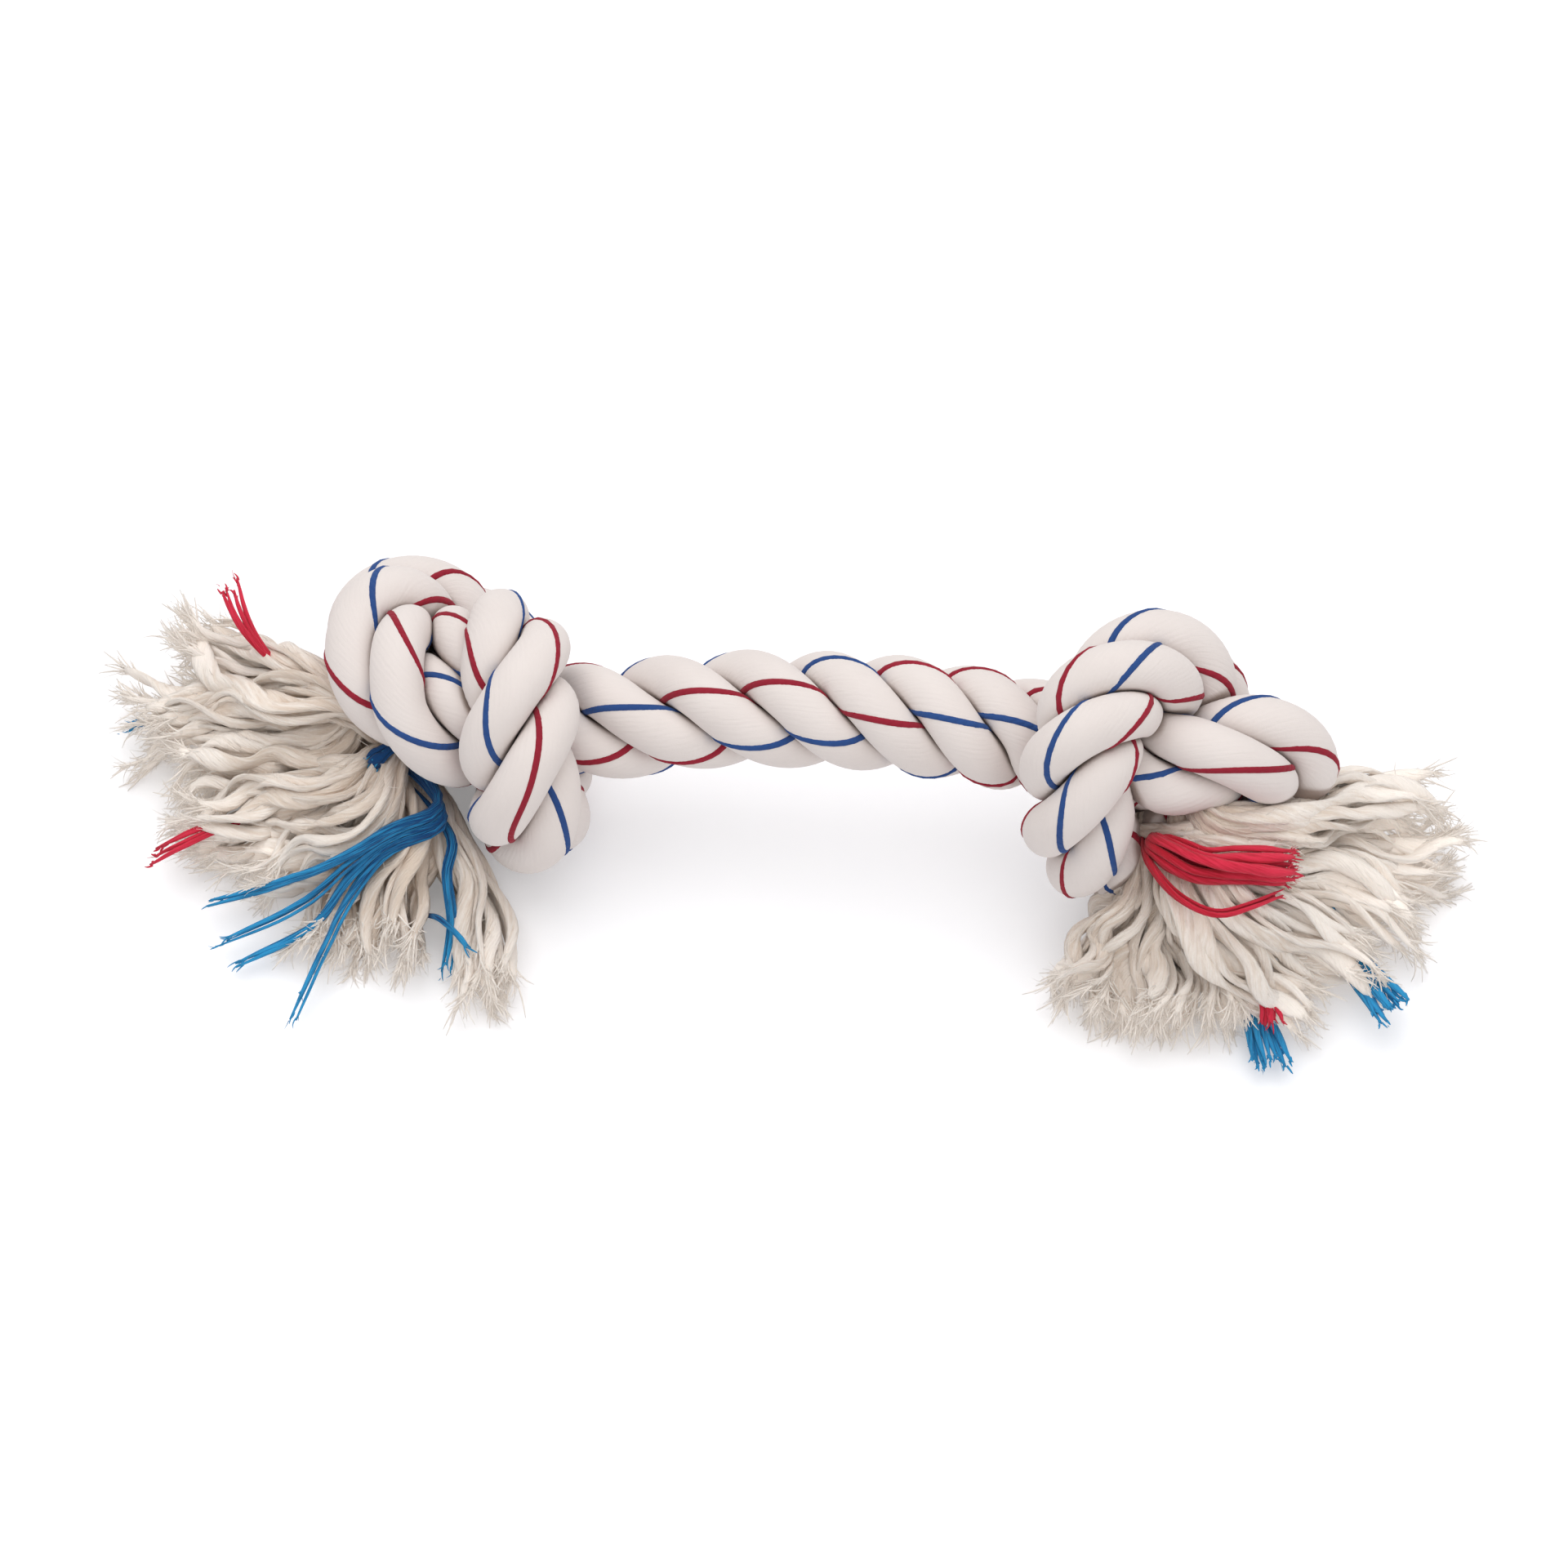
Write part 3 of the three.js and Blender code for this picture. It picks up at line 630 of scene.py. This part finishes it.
# Fine wisps at the tips: split ends from the tip alone, and fibres that come out along the band too.
# A tone below 0 marks loose fluff, which is painted paler and glows with painted light, down to WISP_TONE
# where it is loosest and palest.
WISP_TONE = -0.6
DARKEST_TONE = 2
CURL_SHARE = 0.4
SPLIT_SHAPE = np.array([1, 1, 0.9, 0.75, 0.35])
SPLIT_SIDES = 4
SPLIT_CURL = 0.6
SPLIT_SPREAD = 0.6
SPLIT_DEPTH = 0.4
SPLIT_FAN = 0.3
SPLIT_STRAY = 0.12
SPLIT_LENGTHS = (0.5, 1.2)
FIBRE_SHAPE = np.array([0.11, 0.09, 0.06, 0.03])
FIBRE_SIDES = 3
FIBRE_CURL = 0.9
FIBRE_SPREAD = 0.8
FIBRE_STRAY = 0.4
FIBRE_LENGTHS = (0.4, 1.2)
FIBRE_SHIFTS = (-2, 1.5)
FIRST_FIBRE_RING = 3
ALONG_BAND_SHARE = 0.3

# A style's tones darken each band towards its root with painted shade and pale it towards its tip with
# painted light.
COTTON_STYLE = {
    "width": 1.25, "thickness": 0.62, "lay_wave": 0.3, "bend": 0.15, "crimp": 0.03, "overlap": 4,
    "broadest": 2.1, "splits": 10, "split_size": 0.22, "split_length": 7, "split_back": 5, "fibres": 20,
    "fibre_length": 5, "shortest": 0.84, "tones": (0.5, 0, -0.2, -1),
}
DYED_STYLE = {
    "width": 0.5, "thickness": 0.4, "lay_wave": 0.05, "bend": 0.1, "crimp": 0.02, "overlap": 0.5,
    "broadest": 1.35, "splits": 2, "split_size": 0.2, "split_length": 2.5, "split_back": 2, "fibres": 1,
    "fibre_length": 2, "shortest": 0.93, "tones": (1, 0.3, 0, -0.5),
}
LOCK_STYLES = {
    LOCK_RADII: {**COTTON_STYLE, "bands": 24},
    WISP_RADII: {**COTTON_STYLE, "bands": 19},
    THREAD_RADII: {**DYED_STYLE, "bands": 3},
    RED_LOCK_RADII: {**DYED_STYLE, "bands": 13, "width": 0.9, "thickness": 0.65, "splits": 5, "fibres": 6},
}
SHADED_TONES = {"tones": (0.9, 0.6, 0.4, -0.4)}
# Painted light: the right tassel's upper locks are painted paler than the same cotton elsewhere.
PAINTED_LIGHT_TONES = {"tones": (0.5, -0.1, -0.5, -1.1)}
YARN_STYLES = {
    "right_red_low": {**DYED_STYLE, "bands": 4, "width": 0.6, "lay_wave": 0, "bend": 0.03},
    "left_yarn_down": SHADED_TONES,
    "left_yarn_short": SHADED_TONES,
    "right_yarn_top": PAINTED_LIGHT_TONES,
    "right_yarn_upper": PAINTED_LIGHT_TONES,
    "right_yarn_middle": PAINTED_LIGHT_TONES,
    "right_yarn_lower": PAINTED_LIGHT_TONES,
}
# Dyed yarns that run among the cotton, come out side by side near their tips and lift off it
TUFT_STYLE = {
    **DYED_STYLE, "width": 0.9, "thickness": 0.6, "lay_wave": 0.02, "bend": 0.06, "splits": 3,
    "broadest": 1.1, "split_size": 0.26, "split_length": 1.8, "lift": 2, "front": 0,
}
TUFTS = {
    "left_red_top": {**TUFT_STYLE, "bands": 4, "width": 0.6, "hidden": 0.62, "spread": 2.8},
    "left_red_low": {**TUFT_STYLE, "bands": 4, "width": 0.6, "hidden": 0.66, "spread": 2.8, "lift": 4},
    "right_blue_front": {**TUFT_STYLE, "bands": 9, "hidden": 0.6, "spread": 4.2, "lift": 3},
    "right_blue_side": {**TUFT_STYLE, "bands": 11, "hidden": 0.58, "spread": 4.4, "lift": 8.5, "front": 6},
}

BAND_WEAVE = {"Lines": 7, "Slant": 2, "Ridge": 0, "Streak": 2.5, "Fuzz": 0.4}
STREAK_CONTRAST = 3.4
LOCK_FINISHES = {
    "cotton_yarn": {"name": "undyed_loose_yarn", "light": (0.95, 0.87, 0.795), "dark": (0.77, 0.64, 0.53),
                    "relief": 0.7 * MM, "sheen": 0.3},
    "red_yarn": {"name": "red_dyed_yarn", "light": (0.70, 0.03, 0.07), "dark": (0.42, 0.008, 0.022),
                 "relief": 0.2 * MM, "sheen": 0.1},
    "blue_yarn": {"name": "blue_dyed_yarn", "light": (0.03, 0.32, 0.63), "dark": (0.003, 0.05, 0.17),
                  "relief": 0.2 * MM, "sheen": 0.1},
}
# How strongly the loose fluff of each colour glows with painted light
PAINTED_FLUFF_GLOWS = {"cotton_yarn": 0.2, "red_yarn": 0, "blue_yarn": 0}
random.seed(SEED)
chance = np.random.default_rng(SEED)


def make_loose_cotton(finish, painted_fluff_glow):
    """Cotton whose tone follows its band and its combed streaks.

    Loose fluff, whose tone is below 0, glows with painted light and so stays pale."""
    material, combed, tones = make_cotton(weave=BAND_WEAVE, **finish)
    tree = material.node_tree
    shader = tree.nodes["Principled BSDF"]
    tone = add_node(tree, "ShaderNodeAttribute", attribute_name="tone")
    streaked = add_node(tree, "ShaderNodeMath", {1: STREAK_CONTRAST}, operation="MULTIPLY_ADD")
    both = add_node(tree, "ShaderNodeMath", {1: -STREAK_CONTRAST / 2}, operation="ADD", use_clamp=True)
    fluff = add_node(tree, "ShaderNodeMapRange", {"From Min": 0.0, "From Max": WISP_TONE})
    glow = add_node(tree, "ShaderNodeMix", {"A": (0, 0, 0, 1)}, data_type="RGBA")
    link = tree.links.new
    link(combed.outputs["Streaks"], streaked.inputs[0])
    link(tone.outputs["Fac"], streaked.inputs[2])
    link(streaked.outputs[0], both.inputs[0])
    link(both.outputs[0], tones.inputs["Factor"])
    link(tone.outputs["Fac"], fluff.inputs["Value"])
    link(fluff.outputs["Result"], glow.inputs["Factor"])
    link(tones.outputs["Result"], glow.inputs["B"])
    # Painted light: loose fluff glows in its own colour, more strongly the further its tone is below 0.
    link(glow.outputs["Result"], shader.inputs["Emission Color"])
    shader.inputs["Emission Strength"].default_value = painted_fluff_glow
    return material


lock_cottons = {
    color: make_loose_cotton(finish, PAINTED_FLUFF_GLOWS[color]) for color, finish in LOCK_FINISHES.items()
}


def band_rings(line, first, second, widths, thicknesses, sides):
    """Rings of an oval section: wide along the first direction, thin along the second."""
    turn = np.linspace(0, 2 * np.pi, sides, endpoint=False)[:, None]
    wide = np.cos(turn) * (widths[..., None] * first)[..., None, :]
    thin = np.sin(turn) * (thicknesses[..., None] * second)[..., None, :]
    return (line[..., None, :] + wide + thin).reshape(-1, 3)


def wave(shares, cycles, size):
    return size * np.sin(2 * np.pi * (cycles * shares + random.random()))


def add_skin(lock, points, rings, sides, along, tone):
    """Adds one closed band, or one of many alike wisps, to a lock's mesh."""
    faces, steps = tube_faces(rings, sides, lock["count"])
    points[:, 2] = np.maximum(points[:, 2], FLOOR_CLEARANCE)
    uv_across = random.uniform(0, UV_SHIFT) + steps[:, 0] / sides
    lock["points"].append(points)
    lock["faces"].extend(faces)
    lock["uvs"].append(np.stack([uv_across, along[steps[:, 1]] / UV_LENGTH], axis=1))
    lock["tones"].append(np.repeat(np.broadcast_to(tone, rings), sides))
    lock["count"] += len(points)


def add_wisps(lock, starts, ahead, curl_size, lengths, shape, sides):
    """Adds fine tapering wisps that leave a band at the given points and curl away from their headings."""
    count = len(starts)
    curl = unit(ahead + curl_size * chance.normal(size=(count, 3)))
    shares = np.linspace(0, 1, len(shape))[:, None]
    lines = starts[:, None] + lengths[:, None, None] * shares * (
        ahead[:, None] * (1 - CURL_SHARE * shares) + CURL_SHARE * curl[:, None] * shares)
    lines[..., 2] = np.maximum(lines[..., 2], shape.max() + FLOOR_CLEARANCE)
    first = unit(np.cross(ahead, curl))
    second = np.cross(ahead, first)
    radii = np.broadcast_to(shape, (count, len(shape)))
    rings = band_rings(lines, first[:, None], second[:, None], radii, radii, sides)
    size = len(shape) * sides
    for number in range(count):
        along = lengths[number] * shares[:, 0]
        add_skin(lock, rings[number * size:(number + 1) * size], len(shape), sides, along, WISP_TONE)


def add_split_tip(lock, middle, heading, sideways, outward, style):
    """Splits a band's tip into a flat fan of fine ends."""
    count = style["splits"]
    lean = 2 * (np.arange(count) + chance.random(count)) / count - 1
    starts = middle[-1] - chance.uniform(0, style["split_back"], (count, 1)) * heading[-1]
    starts += SPLIT_SPREAD * style["width"] * lean[:, None] * sideways[-1]
    starts += chance.uniform(-SPLIT_DEPTH, SPLIT_DEPTH, (count, 1)) * style["thickness"] * outward[-1]
    fan = heading[-1] + SPLIT_FAN * lean[:, None] * sideways[-1]
    fan = unit(fan + SPLIT_STRAY * chance.normal(size=(count, 3)))
    lengths = style["split_length"] * chance.uniform(*SPLIT_LENGTHS, count)
    sizes = style["split_size"] * SPLIT_SHAPE
    add_wisps(lock, starts, fan, SPLIT_CURL, lengths, sizes, SPLIT_SIDES)


def add_fibres(lock, middle, heading, sideways, style):
    """Adds the loose fibres of a band, most of them near its tip."""
    count = style["fibres"]
    along_band = chance.random(count) < ALONG_BAND_SHARE
    spots = np.where(along_band, chance.integers(FIRST_FIBRE_RING, BAND_RINGS, count), BAND_RINGS - 1)
    edges = chance.uniform(-FIBRE_SPREAD, FIBRE_SPREAD, (count, 1)) * style["width"]
    starts = middle[spots] + edges * sideways[spots]
    starts += chance.uniform(*FIBRE_SHIFTS, (count, 1)) * heading[spots]
    lean = unit(heading[spots] + FIBRE_STRAY * chance.normal(size=(count, 3)))
    lengths = style["fibre_length"] * chance.uniform(*FIBRE_LENGTHS, count)
    add_wisps(lock, starts, lean, FIBRE_CURL, lengths, FIBRE_SHAPE, FIBRE_SIDES)


def lay_waves(style):
    """The waves that neighbouring bands of a lock share, left by the lay that they came out of."""
    loose = style["lay_wave"] * np.interp(WAVE_SHARES, FREE_SHARES, FREEDOM)
    waves = []
    for _ in range(LAY_GROUPS):
        turns = random.uniform(*LAY_CYCLES) * WAVE_SHARES + random.random()
        waves.append((loose * np.cos(2 * np.pi * turns), loose * np.sin(2 * np.pi * turns)))
    return waves


def add_band(lock, line, frames, reach, number, style, waves):
    """Adds one flat band of combed cotton, with its split tip and its loose fibres."""
    along = distances(line)
    shares = np.linspace(0, random.uniform(style["shortest"], 1), BAND_RINGS)
    at = shares * along[-1]
    centre = at_distances(line, along, at)
    first = at_distances(frames[0], along, at)
    second = at_distances(frames[1], along, at)
    lies_flat = "spread" in style
    place_share = (number + 0.5) / style["bands"]
    start_turn = number * GOLDEN_ANGLE / (2 * math.pi) % 1
    angle = 2 * math.pi * start_turn + random.uniform(*BAND_TURNS) * shares
    swell = random.uniform(NARROWEST, style["broadest"])
    swell = swell * np.interp(np.linspace(0, 1, BAND_RINGS), SWELL_SHARES, SWELLS)
    widths = style["width"] * swell
    thicknesses = style["thickness"] * np.sqrt(swell)
    if lies_flat:
        across = np.full(BAND_RINGS, 2 * place_share - 1)
        upward = np.full(BAND_RINGS, random.uniform(-UNEVENNESS, UNEVENNESS))
        angle = np.full(BAND_RINGS, math.pi / 2)
    else:
        across = math.sqrt(place_share) * np.cos(angle)
        upward = math.sqrt(place_share) * np.sin(angle)
    shared_across, shared_upward = waves[int(start_turn * LAY_GROUPS)]
    across += np.interp(shares, WAVE_SHARES, shared_across)
    upward += np.interp(shares, WAVE_SHARES, shared_upward)
    loose = np.interp(shares, LOOSE_SHARES, LOOSENESS)
    bend = style["bend"] * random.choice(BEND_SIZES)
    for offset in (across, upward):
        offset += loose * wave(shares, random.uniform(*BEND_CYCLES), bend)
        offset += loose * wave(shares, random.uniform(*CRIMP_CYCLES), style["crimp"])
    if lies_flat:
        fan_shares = (0, style["hidden"] - FAN_LEAD, 1)
        scale = np.interp(shares, fan_shares, (TUFT_WIDTH, TUFT_WIDTH, style["spread"]))
    else:
        turns = np.arctan2(upward, across) / (2 * np.pi)
        rows = np.round(shares * (len(line) - 1)).astype(int)
        room = reach[rows, np.round(turns % 1 * REACH_SIDES).astype(int) % REACH_SIDES]
        scale = np.maximum(room - BAND_ROOM * thicknesses, LEAST_ROOM)
        scale = scale * np.interp(shares, FILL_SHARES, FILLS)
    middle = centre + (scale * across)[:, None] * first + (scale * upward)[:, None] * second
    middle[:, 2] = np.maximum(middle[:, 2], thicknesses + FLOOR_CLEARANCE)
    middle[0] -= style["overlap"] * unit(middle[1] - middle[0])
    heading = headings_of(middle)
    roll = angle + wave(shares, random.uniform(*BEND_CYCLES), ROLL_SHARE * style["broadest"])
    outward = square_to(np.cos(roll)[:, None] * first + np.sin(roll)[:, None] * second, heading)
    sideways = np.cross(heading, outward)
    # A band's tone: a random share, plus painted shade towards its root and painted light towards its tip
    tone = PALEST + TONE_SPREAD * random.random() + np.interp(shares, TONE_SHARES, style["tones"])
    tone = np.clip(tone, WISP_TONE, DARKEST_TONE)
    skin = band_rings(middle, sideways, outward, widths, thicknesses, BAND_SIDES)
    add_skin(lock, skin, BAND_RINGS, BAND_SIDES, distances(middle), tone)
    add_split_tip(lock, middle, heading, sideways, outward, style)
    add_fibres(lock, middle, heading, sideways, style)


def level_frames(line):
    """For each point of a line, the level way across it and the way up from it."""
    heading = headings_of(line)
    across = unit(np.cross(heading, (0, 0, 1)))
    return across, np.cross(across, heading)


def add_lock(name, body, line, frames, reach, style):
    """Makes one lock of bands as one mesh that moves with its end of the rope."""
    lock = {"points": [], "faces": [], "uvs": [], "tones": [], "count": 0}
    waves = lay_waves(style)
    for band in range(style["bands"]):
        add_band(lock, line, frames, reach, band, style, waves)
    tassel = make_mesh(name, np.vstack(lock["points"]), lock["faces"], np.vstack(lock["uvs"]))
    set_point_values(tassel, "tone", np.concatenate(lock["tones"]))
    color = "red_yarn" if "red" in name else "blue_yarn" if "blue" in name else "cotton_yarn"
    tassel.data.materials.append(lock_cottons[color])
    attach(tassel, body)
    return tassel


# The left tassel's four long blue yarns lie together as one ribbon before they fan out
RIBBON = ("left_blue_a", "left_blue_b", "left_blue_c", "left_blue_d")
RIBBON_STEPS = 60
GATHER_SHARES = (0, 0.15, 0.5, 0.75)
GATHERS = (0.3, 0.6, 0.5, 0)
ribbon_shares = np.linspace(0, 1, RIBBON_STEPS)
ribbon_lines = [tube["line"] for tube in tubes if tube["name"] in RIBBON]
ribbon_lines = [at_distances(line, np.linspace(0, 1, len(line)), ribbon_shares) for line in ribbon_lines]
ribbon_line = np.mean(ribbon_lines, axis=0)

# How far thin dyed yarns lift off the cotton at their tips, and how much further their tips reach out
THREAD_LIFTS = {
    "right_red_low": 2.5, "left_blue_a": 2.5, "left_blue_b": 2.5, "left_blue_c": 1.5, "left_blue_d": 1,
}
TIP_REACHES = {
    "right_blue_side": -1.5, "right_blue_front": 1, "left_blue_a": 2, "left_blue_b": 2, "left_blue_c": 2,
}
TIP_POINTS = 4

# How deep a tuft sinks into the cotton beside it, and over which shares of its length
SINK = 0.9
SINK_START = 0.12
SINK_END = 0.15
TUFT_SMOOTHING = 12

cotton_line_points = np.vstack([tube["line"] for tube in tubes if "yarn" in tube["name"]])
for number, tube in enumerate(tubes[STRAND_COUNT:], STRAND_COUNT):
    name = tube["name"]
    radii = TAILS[number - STRAND_COUNT][4]
    style = {**LOCK_STYLES[radii], **TUFTS.get(name, {}), **YARN_STYLES.get(name, {})}
    line = tube["line"].copy()
    shares = np.linspace(0, 1, len(line))
    frames = carry_frames(headings_of(line))
    reach = pressed_reach(number, frames, REACH_SIDES, LOCK_FIRMNESS)
    line[:, 2] += THREAD_LIFTS.get(name, 0) * shares
    line += TIP_REACHES.get(name, 0) * shares[:, None] ** 2 * unit(line[-1] - line[-1 - TIP_POINTS])
    if name in RIBBON:
        gather = np.interp(shares, GATHER_SHARES, GATHERS)
        line += gather[:, None] * (at_distances(ribbon_line, ribbon_shares, shares) - line)
    if name in TUFTS:
        sink_shares = (0, SINK_START, style["hidden"], style["hidden"] + SINK_END)
        sink = np.interp(shares, sink_shares, (0, SINK, SINK, 0))
        nearest = [np.argmin(np.linalg.norm(cotton_line_points - point, axis=1)) for point in line]
        line += sink[:, None] * (cotton_line_points[nearest] - line)
        line = smooth_steps(line, TUFT_SMOOTHING)
        freed = np.interp(shares, (style["hidden"], 1), (0, 1))
        line[:, 1] -= style["front"] * freed
        line[:, 2] += style["lift"] * freed
        frames = level_frames(line)
    body = "left_end" if tube["at_left"] else "right_end"
    title = name.replace("yarn", "lock") if "yarn" in name else f"{name}_yarns"
    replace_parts(add_lock(title, body, line, frames, reach, style), name)


# Short yarns: ends of dyed and undyed yarn that only show on the outside of a tassel, cut from the same
# strands and held in the same knots. Each row: name, body, style, and the points of its middle line.
SHORT_DYED = {**DYED_STYLE, "width": 0.6, "hidden": 0.2, "spread": 1.6}
SHORT_COTTON = {**COTTON_STYLE, "hidden": 0.2}
# Painted shade: the blue yarn's root under the left knot is painted all in its dark tone.
PAINTED_SHADE_BLUE_TONES = {"tones": (1.6, 1.6, 1.4, 1)}
SHORT_YARNS = (
    ("left_blue_short", "left_end", {**SHORT_DYED, "bands": 2, "width": 0.45, "spread": 0.5},
     [(-74, -16, 8.5), (-71.5, -18.5, 11.5), (-68.5, -21.5, 12), (-65.5, -24.5, 10)]),
    ("left_blue_root", "left_end", {**SHORT_DYED, **PAINTED_SHADE_BLUE_TONES, "bands": 5, "width": 0.9, "spread": 2},
     [(-76, 15.5, 25.5), (-79, 14.5, 26.5), (-82, 13, 26.5), (-86, 11, 23)]),
    ("left_blue_tip", "left_end", {**SHORT_DYED, "bands": 2, "width": 0.2, "spread": 2},
     [(-126, 29, 9), (-130, 29, 9.5), (-134, 29, 9.5), (-137.5, 28.5, 8)]),
    ("right_red_tip", "right_end", {**SHORT_DYED, "bands": 6, "spread": 2.4},
     [(94.5, -31.5, 10.5), (96.5, -35, 12), (98, -38.5, 11.5), (99, -42, 8.5)]),
    ("right_lock_under", "right_end", {**SHORT_COTTON, "bands": 12, "spread": 6},
     [(73, -16, 14), (71.5, -24, 8), (69.5, -31, 5), (67, -39, 3.5)]),
    ("right_lock_root", "right_end", {**SHORT_COTTON, "bands": 10, "spread": 4.5},
     [(72, -9, 31), (80, -12.5, 35), (91, -13, 35.5), (102, -11.5, 31)]),
)
for name, body, style, route in SHORT_YARNS:
    line = sample_route(route, LINE_STEP)
    add_lock(name, body, line, level_frames(line), None, style)


# Studio: a plain white floor that keeps the toy's soft shadow, in even white light from all round.
# One large lamp stands above and behind the toy and a small one in front of it.
FLOOR_SIZE = 6
FLOOR_COLOR = (0.9, 0.9, 0.92, 1)
FLOOR_ROUGHNESS = 0.9
FLOOR_LIFT = 0.18
WHITE = (1, 1, 1, 1)
WORLD_LIGHT = 0.66
WORLD_SEEN = 1.0
LAMPS = {
    "key_lamp": {"place": (-0.1, 0.4, 1.3), "size": 1.6, "power": 10.5},
    "front_lamp": {"place": (0.5, -0.8, 1.0), "size": 1.0, "power": 2.5},
}

bpy.ops.mesh.primitive_plane_add(size=FLOOR_SIZE, location=(0, 0, 0))
floor = bpy.context.object
floor.name = "studio_floor"
floor_finish = bpy.data.materials.new("white_floor")
floor_finish.use_nodes = True
floor_tree = floor_finish.node_tree
floor_shader = floor_tree.nodes["Principled BSDF"]
floor_shader.inputs["Base Color"].default_value = FLOOR_COLOR
floor_shader.inputs["Roughness"].default_value = FLOOR_ROUGHNESS
floor_shader.inputs["Emission Color"].default_value = WHITE
floor_path = add_node(floor_tree, "ShaderNodeLightPath")
floor_lift = add_node(floor_tree, "ShaderNodeMath", {1: FLOOR_LIFT}, operation="MULTIPLY")
floor_tree.links.new(floor_path.outputs["Is Camera Ray"], floor_lift.inputs[0])
floor_tree.links.new(floor_lift.outputs[0], floor_shader.inputs["Emission Strength"])
floor.data.materials.append(floor_finish)

world = bpy.data.worlds.new("studio_light")
world.use_nodes = True
bpy.context.scene.world = world
world_tree = world.node_tree
background = world_tree.nodes["Background"]
background.inputs["Color"].default_value = WHITE
light_path = add_node(world_tree, "ShaderNodeLightPath")
seen = add_node(world_tree, "ShaderNodeMath", operation="MAXIMUM")
strength = add_node(world_tree, "ShaderNodeMapRange", {"To Min": WORLD_LIGHT, "To Max": WORLD_SEEN})
world_tree.links.new(light_path.outputs["Is Camera Ray"], seen.inputs[0])
world_tree.links.new(light_path.outputs["Is Glossy Ray"], seen.inputs[1])
world_tree.links.new(seen.outputs[0], strength.inputs["Value"])
world_tree.links.new(strength.outputs["Result"], background.inputs["Strength"])

for name, setting in LAMPS.items():
    lamp = bpy.data.objects.new(name, bpy.data.lights.new(name, "AREA"))
    lamp.data.shape = "DISK"
    lamp.data.size = setting["size"]
    lamp.data.energy = setting["power"]
    lamp.location = setting["place"]
    lamp.rotation_euler = (-Vector(setting["place"])).to_track_quat("-Z", "Y").to_euler()
    bpy.context.scene.collection.objects.link(lamp)

bpy.context.scene.view_settings.view_transform = "Standard"
